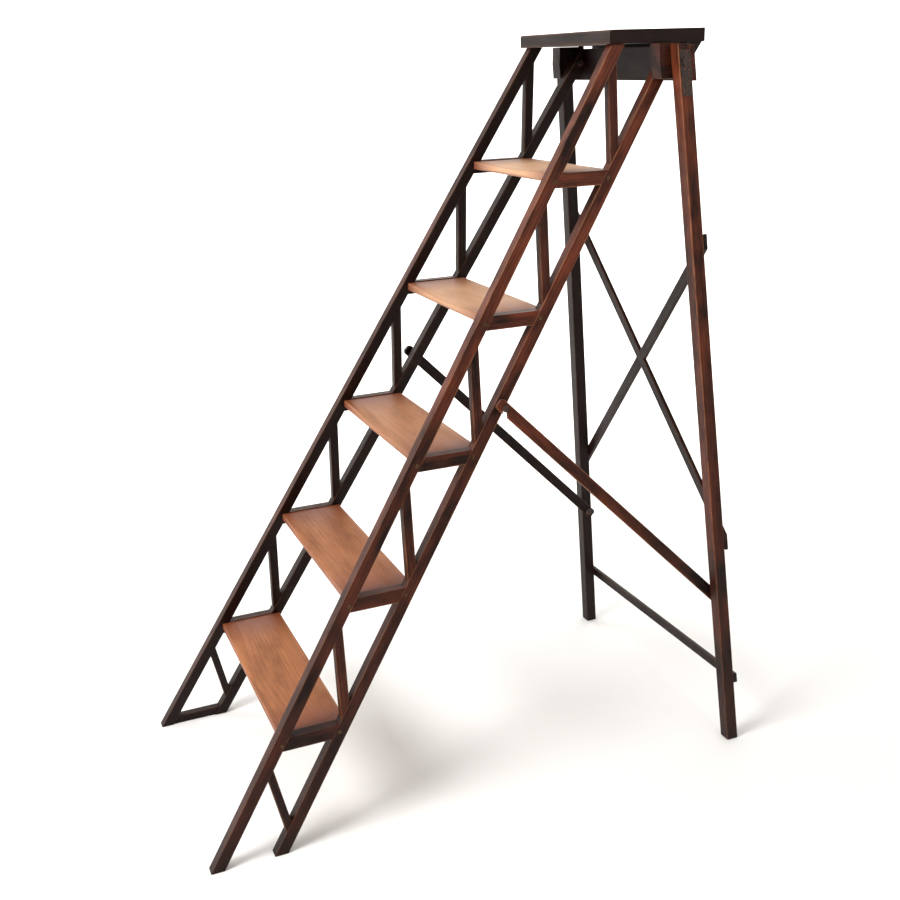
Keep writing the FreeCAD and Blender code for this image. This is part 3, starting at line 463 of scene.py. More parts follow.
def scuffed_platform_pine(colours):
    """Varnished pine, scuffed by buckets and knees."""
    # The same varnish, worn thin in the middle of the top by pots and knees and through at the front
    # top corner by hands, so that dull wood shows there in streaks along the grain; the pale front top
    # corner is also a painted highlight.
    finish, tree, shader = new_finish("scuffed_platform_pine")
    worn, fibres, blotches, sides = varnish_layers(
        tree, shader, colours, rub_width=0.006, rub_share=0.75)
    top = add_node(tree, "ShaderNodeMapRange", {
        "Value": (sides, "Y"), "From Min": 0.93, "From Max": 0.98, "To Min": 0.0, "To Max": 1.0})
    flat = add_node(tree, "ShaderNodeCombineXYZ", {"X": (sides, "X"), "Y": (sides, "Z")})
    reach = add_node(tree, "ShaderNodeVectorMath", {0: flat}, operation="LENGTH")
    ragged = add_node(tree, "ShaderNodeMath", {0: blotches, 1: 1.1, 2: (reach, "Value")},
                      operation="MULTIPLY_ADD")
    # Wear fades out from the middle; the fibres break it into streaks.
    patch = add_node(tree, "ShaderNodeMapRange", {
        "Value": ragged, "From Min": 1.45, "From Max": 0.7, "To Min": 0.0, "To Max": 0.5})
    streaky = add_node(tree, "ShaderNodeMath", {0: patch, 1: fibres}, operation="MULTIPLY")
    share = add_node(tree, "ShaderNodeMath", {0: streaky, 1: top}, operation="MULTIPLY")
    thin = add_node(tree, "ShaderNodeMath", {0: share, 1: 1.6}, operation="MULTIPLY",
                    use_clamp=True)
    # The front top corner is pale along its whole length: partly rubbed by hands going up and down, partly
    # a painted highlight along the platform's top edge.
    corner = add_node(tree, "ShaderNodeMath", {0: (sides, "Y"), 1: (sides, "X")},
                      operation="SUBTRACT")
    nose = add_node(tree, "ShaderNodeMapRange", {
        "Value": corner, "From Min": 1.91, "From Max": 1.96, "To Min": 0.0, "To Max": 0.85})
    either = add_node(tree, "ShaderNodeMath", {0: thin, 1: nose}, operation="MAXIMUM")
    bare = add_node(tree, "ShaderNodeMix", {"Factor": either, "A": worn,
                                            "B": (*colours.platform_bare, 1)}, data_type="RGBA")
    join(tree, bare, shader, "Base Color")
    return finish


def bare_trodden_pine(colours):
    """Pine treads worn bare by boots."""
    # Bare softwood, greased by boots: a warm honey face with soft rings along the board, darker
    # patches, old varnish and painted shadow near the ends, old varnish on the underside, a painted sheen
    # on the highest treads, and hardly any shine.
    finish, tree, shader = new_finish("bare_trodden_pine")
    late, fibres, blotches = growth_figure(tree, ring_gap=0.0055, streak=(9, 420, 420))
    rubbed, parts, place = rubbed_corners(tree, width=0.003, raggedness=0.006)
    pale = (*colours.tread_pale, 1)
    dark = (*colours.tread_dark, 1)
    ring_share = add_node(tree, "ShaderNodeMath", {0: late, 1: 0.6}, operation="MULTIPLY")
    rings = add_node(tree, "ShaderNodeMix", {"Factor": ring_share, "A": pale, "B": dark},
                     data_type="RGBA")
    streaks = add_node(tree, "ShaderNodeMapRange", {
        "Value": fibres, "From Min": 0.35, "From Max": 0.75, "To Min": 0.0, "To Max": 0.6})
    body = add_node(tree, "ShaderNodeMix", {"Factor": streaks, "A": rings, "B": dark},
                    data_type="RGBA")
    patchy = add_node(tree, "ShaderNodeMapRange", {
        "Value": blotches, "From Min": 0.44, "From Max": 0.68, "To Min": 0.0, "To Max": 0.6})
    mottled = add_node(tree, "ShaderNodeMix", {"Factor": patchy, "A": body,
                                               "B": (*colours.tread_stain, 1)}, data_type="RGBA")
    # The highest treads are painted paler and greyer: painted sheen, for the white reflection that they
    # catch at a grazing angle.
    spot = add_node(tree, "ShaderNodeTexCoord")
    level = add_node(tree, "ShaderNodeSeparateXYZ", {0: (spot, "Object")})
    high_tread_sheen = add_node(tree, "ShaderNodeMapRange", {
        "Value": (level, "Z"), "From Min": 0.62, "From Max": 1.15, "To Min": 0.0, "To Max": 0.75})
    with_painted_sheen = add_node(tree, "ShaderNodeMix", {"Factor": high_tread_sheen, "A": mottled,
                                                "B": (*colours.tread_scrubbed, 1)},
                        data_type="RGBA")
    # Boots never reach the last few centimetres, so the old varnish stays there; the ends are also
    # darkened as painted shadow, where the stiles shade the tread.
    reach = add_node(tree, "ShaderNodeMath", {0: blotches, 1: 0.10, 2: (parts, "Z")},
                     operation="MULTIPLY_ADD")
    ends = add_node(tree, "ShaderNodeMapRange", {
        "Value": reach, "From Min": 0.055, "From Max": 0.17, "To Min": 0.9, "To Max": 0.0})
    height = add_node(tree, "ShaderNodeSeparateXYZ", {0: (place, "Vector")})
    under = add_node(tree, "ShaderNodeMapRange", {
        "Value": (height, "Y"), "From Min": -0.002, "From Max": -0.0066, "To Min": 0.0, "To Max": 0.85})
    kept = add_node(tree, "ShaderNodeMath", {0: ends, 1: under}, operation="MAXIMUM")
    end_varnish_and_shadow = add_node(tree, "ShaderNodeMix", {"Factor": kept, "A": with_painted_sheen,
                                           "B": (*colours.varnish_clear, 1)}, data_type="RGBA")
    share = add_node(tree, "ShaderNodeMath", {0: rubbed, 1: 0.5}, operation="MULTIPLY")
    worn = add_node(tree, "ShaderNodeMix", {"Factor": share, "A": end_varnish_and_shadow,
                                            "B": (*colours.tread_pale, 1)}, data_type="RGBA")
    join(tree, worn, shader, "Base Color")
    rough = add_node(tree, "ShaderNodeMapRange", {
        "Value": blotches, "From Min": 0.3, "From Max": 0.7, "To Min": 0.42, "To Max": 0.62})
    join(tree, rough, shader, "Roughness")
    relief = add_node(tree, "ShaderNodeMath", {0: late, 1: 0.8, 2: fibres}, operation="MULTIPLY_ADD")
    bump = add_node(tree, "ShaderNodeBump", {"Height": relief, "Strength": 0.5, "Distance": 0.0006})
    join(tree, bump, shader, "Normal")
    shader.inputs["Specular IOR Level"].default_value = 0.45
    return finish


def browned_wrought_iron(colours):
    """Wrought iron, browned by age and handling."""
    # Hammered iron with a thin brown oxide: nearly black, faintly metallic, rust in its pits.
    finish, tree, shader = new_finish("browned_wrought_iron")
    place = add_node(tree, "ShaderNodeTexCoord")
    # Hammer marks are about 4 mm across and pits about 1 mm.
    hammered = add_node(tree, "ShaderNodeTexNoise", {"Vector": (place, "Object"), "Scale": 240.0,
                                                     "Detail": 3.0})
    pits = add_node(tree, "ShaderNodeTexNoise", {"Vector": (place, "Object"), "Scale": 900.0,
                                                 "Detail": 2.0})
    rusty = add_node(tree, "ShaderNodeMapRange", {
        "Value": hammered, "From Min": 0.5, "From Max": 0.64, "To Min": 0.0, "To Max": 0.9})
    colour = add_node(tree, "ShaderNodeMix", {"Factor": rusty, "A": (*colours.iron, 1),
                                              "B": (*colours.rust, 1)}, data_type="RGBA")
    join(tree, colour, shader, "Base Color")
    metal = add_node(tree, "ShaderNodeMapRange", {"Value": rusty, "To Min": 0.85, "To Max": 0.1})
    join(tree, metal, shader, "Metallic")
    rough = add_node(tree, "ShaderNodeMapRange", {"Value": rusty, "To Min": 0.42, "To Max": 0.8})
    join(tree, rough, shader, "Roughness")
    relief = add_node(tree, "ShaderNodeMath", {0: hammered, 1: 2.0, 2: pits},
                      operation="MULTIPLY_ADD")
    bump = add_node(tree, "ShaderNodeBump", {"Height": relief, "Strength": 0.5, "Distance": 0.0003})
    join(tree, bump, shader, "Normal")
    return finish


def tarnished_brass(colours):
    """Turned brass screw heads, long tarnished."""
    # Brass gone brown: dull gold on the rim, darker where the driver never touches.
    finish, tree, shader = new_finish("tarnished_brass")
    place = add_node(tree, "ShaderNodeTexCoord")
    stains = add_node(tree, "ShaderNodeTexNoise", {"Vector": (place, "Object"), "Scale": 420.0,
                                                   "Detail": 3.0})
    mask = add_node(tree, "ShaderNodeMapRange", {"Value": stains, "From Min": 0.4, "From Max": 0.65})
    colour = add_node(tree, "ShaderNodeMix", {"Factor": mask, "A": (*colours.brass, 1),
                                              "B": (*colours.tarnish, 1)}, data_type="RGBA")
    join(tree, colour, shader, "Base Color")
    rough = add_node(tree, "ShaderNodeMapRange", {"Value": mask, "To Min": 0.34, "To Max": 0.6})
    join(tree, rough, shader, "Roughness")
    bump = add_node(tree, "ShaderNodeBump", {"Height": stains, "Strength": 0.3, "Distance": 0.0001})
    join(tree, bump, shader, "Normal")
    shader.inputs["Metallic"].default_value = 0.85
    return finish


def matt_floor_paint(colours):
    """Rolled matt emulsion on the studio floor."""
    # Rolled matt paint: almost even white with a very faint cloudiness, no shine.
    finish, tree, shader = new_finish("matt_floor_paint")
    place = add_node(tree, "ShaderNodeTexCoord")
    clouds = add_node(tree, "ShaderNodeTexNoise", {"Vector": (place, "Object"), "Scale": 1.4,
                                                   "Detail": 3.0})
    colour = add_node(tree, "ShaderNodeMix", {"Factor": clouds, "A": (*colours.floor, 1),
                                              "B": (*colours.floor_cloud, 1)}, data_type="RGBA")
    join(tree, colour, shader, "Base Color")
    shader.inputs["Roughness"].default_value = 0.9
    return finish


FINISHES = {
    "varnished_wood": stained_varnished_pine,
    "worn_tread": bare_trodden_pine,
    "worn_platform": scuffed_platform_pine,
    "black_iron": browned_wrought_iron,
    "brass_screw": tarnished_brass,
}


def finish_for(slot):
    """The one material of a slot, made the first time that a piece asks for it."""
    maker = FINISHES[slot]
    return bpy.data.materials.get(maker.__name__) or maker(bpy.context.scene.ladder_colours)


# ---------------------------------------------------------------- shapes


def merged_copy(node):
    """A copy of a part of the frame with its triangles joined back into flat faces."""
    shape = bmesh.new()
    shape.from_mesh(frame["nodes"][node].data)
    bmesh.ops.remove_doubles(shape, verts=shape.verts, dist=SAME_POINT)
    bmesh.ops.dissolve_limit(shape, angle_limit=FLAT_ANGLE, verts=shape.verts, edges=shape.edges)
    shape.normal_update()
    return shape


def stick_axes(shape):
    """Directions of a straight stick: out from the ladder's middle, across, and along it."""
    arris = max(shape.edges, key=lambda edge: edge.calc_length())
    along = (arris.verts[1].co - arris.verts[0].co).normalized()
    # Along points up a sloping stick, and to the right on a level one.
    if along.dot(Vector((1, 0.3, 2))) < 0:
        along.negate()
    crosses = abs(along.x) > 0.3
    middle = sum((vert.co for vert in shape.verts), Vector()) / len(shape.verts)
    outward = Vector((0, 1, 0)) if crosses else Vector((math.copysign(1, middle.x), 0, 0))
    normals = [face.normal - along * face.normal.dot(along) for face in arris.link_faces]
    across = max(normals, key=lambda normal: abs(normal.dot(outward))).normalized()
    if across.dot(outward) < 0:
        across.negate()
    return across, along.cross(across), along


def section_place(shape, axes):
    """Middle and half sizes of a shape's box on its own axes."""
    low = Vector([min(v.co.dot(axis) for v in shape.verts) for axis in axes])
    high = Vector([max(v.co.dot(axis) for v in shape.verts) for axis in axes])
    return (low + high) / 2, (high - low) / 2


def grain_shift(node):
    """A fixed shift of the grain for each piece, so that no two show the same figure."""
    count = sum((at + 1) * ord(letter) for at, letter in enumerate(node))
    return Vector((count * 0.37 % 11, count * 0.0113 % 0.07, count * 0.0171 % 0.06))


def mark_grain(shape, axes, middle, half, node):
    """Stores on each corner where it lies along the grain, its place in the section, and its share of
    painted shade.
    """
    grain = shape.verts.layers.float_vector.new("grain_place")
    place = shape.verts.layers.float_vector.new("arris_place")
    limit = shape.verts.layers.float_vector.new("arris_half")
    painted_shade = shape.verts.layers.float_vector.new("shade_darkening")
    shift = grain_shift(node)
    share = PAINTED_DARK_PIECES.get(node, 0.0)
    for vert in shape.verts:
        local = Vector([vert.co.dot(axis) for axis in axes]) - middle
        vert[grain] = Vector((local.z, local.x, local.y)) + shift
        vert[place] = local
        vert[limit] = half
        vert[painted_shade] = (share, share, share)


def rubbed_mesh(shape, name, finish):
    """The finished mesh of a shape, smooth over its rounded arrises and flat on its faces."""
    mesh = bpy.data.meshes.new(name)
    shape.to_mesh(mesh)
    shape.free()
    mesh.shade_smooth()
    mesh.set_sharp_from_angle(angle=SHARP_ANGLE)
    mesh.materials.append(finish)
    holder = bpy.data.objects.new(name, mesh)
    bpy.context.scene.collection.objects.link(holder)
    weighted = holder.modifiers.new("flat_faces", "WEIGHTED_NORMAL")
    weighted.keep_sharp = True
    plain = plain_mesh(holder)
    bpy.data.objects.remove(holder)
    plain.name = name
    return plain


def plain_mesh(holder):
    """The evaluated mesh of an object, with nothing live left on it."""
    graph = bpy.context.evaluated_depsgraph_get()
    return bpy.data.meshes.new_from_object(
        holder.evaluated_get(graph), preserve_all_data_layers=True, depsgraph=graph
    )


def show(name, mesh, slot, *nodes):
    """Puts a finished mesh in the scene, riding where the parts that it stands for ride."""
    piece = bpy.data.objects.new(name, mesh)
    bpy.context.scene.collection.objects.link(piece)
    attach(piece, BODY_OF[nodes[0]])
    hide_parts(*nodes)


def corner_edges(shape, axes, middle, half, slack=0.0026):
    """The outer arrises of a stick: edges whose two ends lie at corners of its section.

    slack is how far inside its box a leaning stick's corners may lie, in metres.
    """
    def at_corner(vert):
        local = Vector([vert.co.dot(axis) for axis in axes]) - middle
        return half.x - abs(local.x) < slack and half.y - abs(local.y) < slack

    return [
        edge for edge in shape.edges
        if edge.is_manifold and edge.is_convex and edge.calc_face_angle() > CORNER_ANGLE
        and all(at_corner(vert) for vert in edge.verts)
    ]


def round_arrises(shape, edges, radius, segments=3):
    """Rounds edges as planing and wear do."""
    bmesh.ops.bevel(
        shape, geom=edges, offset=radius, offset_type="OFFSET", segments=segments,
        profile=0.5, affect="EDGES", clamp_overlap=True,
    )


def dress_stick(node, slot, radius):
    """One wooden member: its own shape with rubbed arrises and the grain along it."""
    shape = merged_copy(node)
    axes = stick_axes(shape)
    middle, half = section_place(shape, axes)
    round_arrises(shape, corner_edges(shape, axes, middle, half), radius)
    mark_grain(shape, axes, middle, half, node)
    show(f"rubbed_{node}", rubbed_mesh(shape, node, finish_for(slot)), slot, node)


def dress_iron(node, radius):
    """One iron piece: its own shape with filed corners."""
    shape = merged_copy(node)
    sharp = [
        edge for edge in shape.edges
        if edge.is_manifold and edge.is_convex and edge.calc_face_angle() > CORNER_ANGLE
    ]
    round_arrises(shape, sharp, radius, segments=2)
    show(f"filed_{node}", rubbed_mesh(shape, node, finish_for("black_iron")), "black_iron", node)


# ---------------------------------------------------------------- geometry node trees


def new_tree(name, inputs):
    """An empty geometry tree with its named inputs."""
    tree = bpy.data.node_groups.new(name, "GeometryNodeTree")
    tree.interface.new_socket("Geometry", in_out="INPUT", socket_type="NodeSocketGeometry")
    for label, kind in inputs.items():
        tree.interface.new_socket(label, in_out="INPUT", socket_type=f"NodeSocket{kind}")
    tree.interface.new_socket("Geometry", in_out="OUTPUT", socket_type="NodeSocketGeometry")
    return tree, add_node(tree, "NodeGroupInput")


def grow(name, mesh, tree, values):
    """The plain mesh that a tree grows from a start mesh with these inputs."""
    holder = bpy.data.objects.new(name, mesh)
    bpy.context.scene.collection.objects.link(holder)
    modifier = holder.modifiers.new(name, "NODES")
    modifier.node_group = tree
    for item in tree.interface.items_tree:
        if item.item_type == "SOCKET" and item.in_out == "INPUT" and item.name in values:
            modifier[item.identifier] = values[item.name]
    grown = plain_mesh(holder)
    holder.modifiers.clear()
    bpy.data.objects.remove(holder)
    grown.name = name
    grown.shade_smooth()
    grown.set_sharp_from_angle(angle=SHARP_ANGLE)
    return grown


def store_places(tree, shape, grain, place, half):
    """Stores on a growing shape the three places that the wood finishes read."""
    for label, value in (("grain_place", grain), ("arris_place", place), ("arris_half", half)):
        shape = add_node(tree, "GeometryNodeStoreNamedAttribute",
                         {"Geometry": shape, "Name": label, "Value": value},
                         data_type="FLOAT_VECTOR", domain="POINT")
    return shape


def tread_tree():
    """Grows one tread: a rounded board, sloped at its ends and hollowed by boots."""
    tree, given = new_tree("trodden_board", {
        "Length": "Float", "Flare": "Float", "Depth": "Float", "Thickness": "Float",
        "Arris": "Float", "Hollow": "Float", "Nose Wear": "Float", "Centre": "Vector",
        "Grain Shift": "Vector", "Finish": "Material"})
    outline = add_node(tree, "GeometryNodeCurvePrimitiveQuadrilateral",
                       {"Width": (given, "Depth"), "Height": (given, "Thickness")})
    rounded = add_node(tree, "GeometryNodeFilletCurve",
                       {"Curve": outline, "Radius": (given, "Arris"), "Count": 4}, mode="POLY")
    divided = add_node(tree, "GeometryNodeSubdivideCurve", {"Curve": rounded, "Cuts": 5})
    half_length = add_node(tree, "ShaderNodeMath", {0: (given, "Length"), 1: 0.5},
                           operation="MULTIPLY")
    minus_half = add_node(tree, "ShaderNodeMath", {0: (given, "Length"), 1: -0.5},
                          operation="MULTIPLY")
    left = add_node(tree, "ShaderNodeCombineXYZ", {"X": minus_half})
    right = add_node(tree, "ShaderNodeCombineXYZ", {"X": half_length})
    line = add_node(tree, "GeometryNodeCurvePrimitiveLine", {"Start": left, "End": right})
    spaced = add_node(tree, "GeometryNodeResampleCurve", {"Curve": line, "Count": 49})
    board = add_node(tree, "GeometryNodeCurveToMesh",
                     {"Curve": spaced, "Profile Curve": divided, "Fill Caps": True})
    place = add_node(tree, "GeometryNodeInputPosition")
    parts = add_node(tree, "ShaderNodeSeparateXYZ", {0: place})
    grain = add_node(tree, "ShaderNodeVectorMath", {0: place, 1: (given, "Grain Shift")},
                     operation="ADD")
    local = add_node(tree, "ShaderNodeCombineXYZ",
                     {"X": (parts, "Y"), "Y": (parts, "Z"), "Z": (parts, "X")})
    half_depth = add_node(tree, "ShaderNodeMath", {0: (given, "Depth"), 1: 0.5},
                          operation="MULTIPLY")
    half_thickness = add_node(tree, "ShaderNodeMath", {0: (given, "Thickness"), 1: 0.5},
                              operation="MULTIPLY")
    half = add_node(tree, "ShaderNodeCombineXYZ",
                    {"X": half_depth, "Y": half_thickness, "Z": half_length})
    marked = store_places(tree, board, grain, local, half)
    # Ends slope with the leaning sides: x grows by Flare from the bottom face to the top.
    side = add_node(tree, "ShaderNodeMath", {0: (parts, "X"), 1: half_length}, operation="DIVIDE")
    rise = add_node(tree, "ShaderNodeMath", {0: (parts, "Z"), 1: (given, "Thickness")},
                    operation="DIVIDE")
    lean = add_node(tree, "ShaderNodeMath", {0: rise, 1: (given, "Flare")}, operation="MULTIPLY")
    shift_x = add_node(tree, "ShaderNodeMath", {0: side, 1: lean}, operation="MULTIPLY")
    # The hollow is deepest in the middle third and fades out before the ends.
    out = add_node(tree, "ShaderNodeMath", {0: side}, operation="ABSOLUTE")
    trodden = add_node(tree, "ShaderNodeMapRange",
                       {"Value": out, "From Min": 0.82, "From Max": 0.1, "To Min": 0.0,
                        "To Max": 1.0}, interpolation_type="SMOOTHSTEP")
    on_top = add_node(tree, "ShaderNodeMapRange",
                      {"Value": rise, "From Min": 0.2, "From Max": 0.5, "To Min": 0.0,
                       "To Max": 1.0}, interpolation_type="SMOOTHSTEP")
    forward = add_node(tree, "ShaderNodeMath", {0: (parts, "Y"), 1: half_depth},
                       operation="DIVIDE")
    to_front = add_node(tree, "ShaderNodeMapRange",
                        {"Value": forward, "From Min": 0.95, "From Max": -0.35, "To Min": 0.0,
                         "To Max": 1.0}, interpolation_type="SMOOTHSTEP")
    at_nose = add_node(tree, "ShaderNodeMapRange",
                       {"Value": forward, "From Min": -0.78, "From Max": -1.0, "To Min": 0.0,
                        "To Max": 1.0}, interpolation_type="SMOOTHSTEP")
    dip = add_node(tree, "ShaderNodeMath", {0: to_front, 1: (given, "Hollow")},
                   operation="MULTIPLY")
    drop = add_node(tree, "ShaderNodeMath", {0: at_nose, 1: (given, "Nose Wear"), 2: dip},
                    operation="MULTIPLY_ADD")
    worn = add_node(tree, "ShaderNodeMath", {0: drop, 1: trodden}, operation="MULTIPLY")
    lowered = add_node(tree, "ShaderNodeMath", {0: worn, 1: on_top}, operation="MULTIPLY")
    down = add_node(tree, "ShaderNodeMath", {0: lowered, 1: -1.0}, operation="MULTIPLY")
    offset = add_node(tree, "ShaderNodeCombineXYZ", {"X": shift_x, "Z": down})
    placed = add_node(tree, "ShaderNodeVectorMath", {0: offset, 1: (given, "Centre")},
                      operation="ADD")
    moved = add_node(tree, "GeometryNodeSetPosition", {"Geometry": marked, "Offset": placed})
    real = add_node(tree, "GeometryNodeRealizeInstances", {"Geometry": moved})
    finished = add_node(tree, "GeometryNodeSetMaterial",
                        {"Geometry": real, "Material": (given, "Finish")})
    add_node(tree, "NodeGroupOutput", {"Geometry": finished})
    return tree


def strut_tree():
    """Grows every strut of the lattice: one rounded bar, stretched over each strut's three edges."""
    tree, given = new_tree("lattice_struts", {
        "Bar": "Float", "Arris": "Float", "Finish": "Material"})
    share = add_node(tree, "ShaderNodeMath", {0: (given, "Arris"), 1: (given, "Bar")},
                     operation="DIVIDE")
    outline = add_node(tree, "GeometryNodeCurvePrimitiveQuadrilateral", {"Width": 1.0, "Height": 1.0})
    rounded = add_node(tree, "GeometryNodeFilletCurve",
                       {"Curve": outline, "Radius": share, "Count": 3}, mode="POLY")
    line = add_node(tree, "GeometryNodeCurvePrimitiveLine",
                    {"Start": (0, 0, -0.5), "End": (0, 0, 0.5)})
    bar = add_node(tree, "GeometryNodeCurveToMesh",
                   {"Curve": line, "Profile Curve": rounded, "Fill Caps": True})
    unit = add_node(tree, "GeometryNodeInputPosition")
    kept = add_node(tree, "GeometryNodeStoreNamedAttribute",
                    {"Geometry": bar, "Name": "unit_place", "Value": unit},
                    data_type="FLOAT_VECTOR", domain="POINT")
    points = add_node(tree, "GeometryNodeMeshToPoints", {"Mesh": (given, "Geometry")})
    copies = add_node(tree, "GeometryNodeInstanceOnPoints", {"Points": points, "Instance": kept})
    real = add_node(tree, "GeometryNodeRealizeInstances", {"Geometry": copies})
    local = add_node(tree, "GeometryNodeInputNamedAttribute", {"Name": "unit_place"},
                     data_type="FLOAT_VECTOR")
    parts = add_node(tree, "ShaderNodeSeparateXYZ", {0: local})
    total = add_node(tree, "ShaderNodeVectorMath", {0: local}, operation="SCALE")
    total.inputs["Scale"].default_value = -1.0
    for label, part in (("edge_across", "X"), ("edge_slope", "Y"), ("edge_along", "Z")):
        edge = add_node(tree, "GeometryNodeInputNamedAttribute", {"Name": label},
                        data_type="FLOAT_VECTOR")
        spread = add_node(tree, "ShaderNodeVectorMath", {0: edge}, operation="SCALE")
        tree.links.new(parts.outputs[part], spread.inputs["Scale"])
        total = add_node(tree, "ShaderNodeVectorMath", {0: total, 1: spread}, operation="ADD")
    moved = add_node(tree, "GeometryNodeSetPosition", {"Geometry": real, "Offset": total})
    size = add_node(tree, "GeometryNodeInputNamedAttribute", {"Name": "bar_size"},
                    data_type="FLOAT_VECTOR")
    place = add_node(tree, "ShaderNodeVectorMath", {0: local, 1: size}, operation="MULTIPLY")
    swap = add_node(tree, "ShaderNodeSeparateXYZ", {0: place})
    turned = add_node(tree, "ShaderNodeCombineXYZ",
                      {"X": (swap, "Z"), "Y": (swap, "X"), "Z": (swap, "Y")})
    shift = add_node(tree, "GeometryNodeInputNamedAttribute", {"Name": "grain_shift"},
                     data_type="FLOAT_VECTOR")
    grain = add_node(tree, "ShaderNodeVectorMath", {0: turned, 1: shift}, operation="ADD")
    half = add_node(tree, "ShaderNodeVectorMath", {0: size, 1: (0.5, 0.5, 0.5)},
                    operation="MULTIPLY")
    marked = store_places(tree, moved, grain, place, half)
    whole = add_node(tree, "GeometryNodeRealizeInstances", {"Geometry": marked})
    finished = add_node(tree, "GeometryNodeSetMaterial",
                        {"Geometry": whole, "Material": (given, "Finish")})
    add_node(tree, "NodeGroupOutput", {"Geometry": finished})
    return tree


def screw_tree():
    """Grows slotted countersunk screws on points that carry the way each head faces."""
    tree, given = new_tree("slotted_screws", {
        "Head Radius": "Float", "Head Depth": "Float", "Shank Radius": "Float",
        "Length": "Float", "Slot Width": "Float", "Slot Depth": "Float", "Seed": "Int",
        "Finish": "Material"})
    half_depth = add_node(tree, "ShaderNodeMath", {0: (given, "Head Depth"), 1: -0.5},
                          operation="MULTIPLY")
    sunk = add_node(tree, "ShaderNodeCombineXYZ", {"Z": half_depth})
    disc = add_node(tree, "GeometryNodeMeshCylinder",
                    {"Vertices": 28, "Radius": (given, "Head Radius"), "Depth": (given, "Head Depth")})
    head = add_node(tree, "GeometryNodeTransform", {"Geometry": disc, "Translation": sunk})
    slot_length = add_node(tree, "ShaderNodeMath", {0: (given, "Head Radius"), 1: 2.4},
                           operation="MULTIPLY")
    slot_height = add_node(tree, "ShaderNodeMath", {0: (given, "Slot Depth"), 1: 2.0},
                           operation="MULTIPLY")
    slot_size = add_node(tree, "ShaderNodeCombineXYZ",
                         {"X": slot_length, "Y": (given, "Slot Width"), "Z": slot_height})
    slot = add_node(tree, "GeometryNodeMeshCube", {"Size": slot_size})
    slotted = add_node(tree, "GeometryNodeMeshBoolean", {"Mesh 1": head, "Mesh 2": slot},
                       operation="DIFFERENCE")
    shank_middle = add_node(tree, "ShaderNodeMath", {0: (given, "Length"), 1: -0.5},
                            operation="MULTIPLY")
    shank_place = add_node(tree, "ShaderNodeCombineXYZ", {"Z": shank_middle})
    bar_length = add_node(tree, "ShaderNodeMath", {0: (given, "Length"), 1: (given, "Head Depth")},
                          operation="SUBTRACT")
    rod = add_node(tree, "GeometryNodeMeshCylinder",
                   {"Vertices": 16, "Radius": (given, "Shank Radius"), "Depth": bar_length})
    shank = add_node(tree, "GeometryNodeTransform", {"Geometry": rod, "Translation": shank_place})
    screw = add_node(tree, "GeometryNodeJoinGeometry")
    tree.links.new(slotted.outputs["Mesh"], screw.inputs["Geometry"])
    tree.links.new(shank.outputs["Geometry"], screw.inputs["Geometry"])
    facing = add_node(tree, "GeometryNodeInputNamedAttribute", {"Name": "facing"},
                      data_type="FLOAT_VECTOR")
    upright = add_node(tree, "FunctionNodeAlignRotationToVector", {"Vector": facing}, axis="Z")
    turn = add_node(tree, "FunctionNodeRandomValue",
                    {"Min": 0.0, "Max": 3.1416, "Seed": (given, "Seed")})
    twist = add_node(tree, "FunctionNodeAxisAngleToRotation", {"Axis": (0, 0, 1), "Angle": turn})
    driven = add_node(tree, "FunctionNodeRotateRotation", {"Rotation": upright, "Rotate By": twist},
                      rotation_space="LOCAL")
    points = add_node(tree, "GeometryNodeMeshToPoints", {"Mesh": (given, "Geometry")})
    copies = add_node(tree, "GeometryNodeInstanceOnPoints",
                      {"Points": points, "Instance": screw, "Rotation": driven})
    real = add_node(tree, "GeometryNodeRealizeInstances", {"Geometry": copies})
    finished = add_node(tree, "GeometryNodeSetMaterial",
                        {"Geometry": real, "Material": (given, "Finish")})
    add_node(tree, "NodeGroupOutput", {"Geometry": finished})
    return tree


def start_points(name, places, marks):
    """A mesh of loose points with a vector stored on each."""
    mesh = bpy.data.meshes.new(name)
    mesh.from_pydata(places, [], [])
    for label, vectors in marks.items():
        layer = mesh.attributes.new(label, "FLOAT_VECTOR", "POINT")
        for at, vector in enumerate(vectors):
            layer.data[at].vector = vector
    return mesh


def bar_edges(shape):
    """A strut's middle and the edges that span it: outwards, up the stiles' slope, and along."""
    shape.verts.ensure_lookup_table()
    corner = shape.verts[0]
    spans = [edge.other_vert(corner).co - corner.co for edge in corner.link_edges]
    spans.sort(key=lambda span: span.length)
    along = spans.pop()
    across = max(spans, key=lambda span: abs(span.normalized().x))
    spans.remove(across)
    slope = spans[0]
    middle = sum((vert.co for vert in shape.verts), Vector()) / len(shape.verts)
    if across.x * middle.x < 0:
        across.negate()
    if across.cross(slope).dot(along) < 0:
        slope.negate()
    return middle, across, slope, along


def screw_heads(node):
    """Where each screw's head is and the way it faces, from the parts' own heads."""
    shape = merged_copy(node)
    places, facings, seen = [], [], set()
    for start in shape.verts:
        if start in seen:
            continue
        island, waiting = set(), [start]
        while waiting:
            vert = waiting.pop()
            if vert not in island:
                island.add(vert)
                waiting.extend(edge.other_vert(vert) for edge in vert.link_edges)
        seen |= island
        faces = {face for vert in island for face in vert.link_faces}
        top = max(faces, key=lambda face: face.calc_area())
        places.append(top.calc_center_median())
        facings.append(top.normal.copy())
    shape.free()
    return places, facings


# ---------------------------------------------------------------- operators


class LADDER_OT_stiles(bpy.types.Operator):
    """Dress the four stiles and the two pivot blocks with rubbed varnish"""

    bl_idname = "ladder.stiles"
    bl_label = "Dress the Stiles"

    def execute(self, context):
        arris = context.scene.ladder_sizes.member_arris
        for side in SIDES:
            for node in (f"front_stile_{side}", f"back_stile_{side}", f"pivot_block_{side}"):
                dress_stick(node, "varnished_wood", arris)
        return {"FINISHED"}


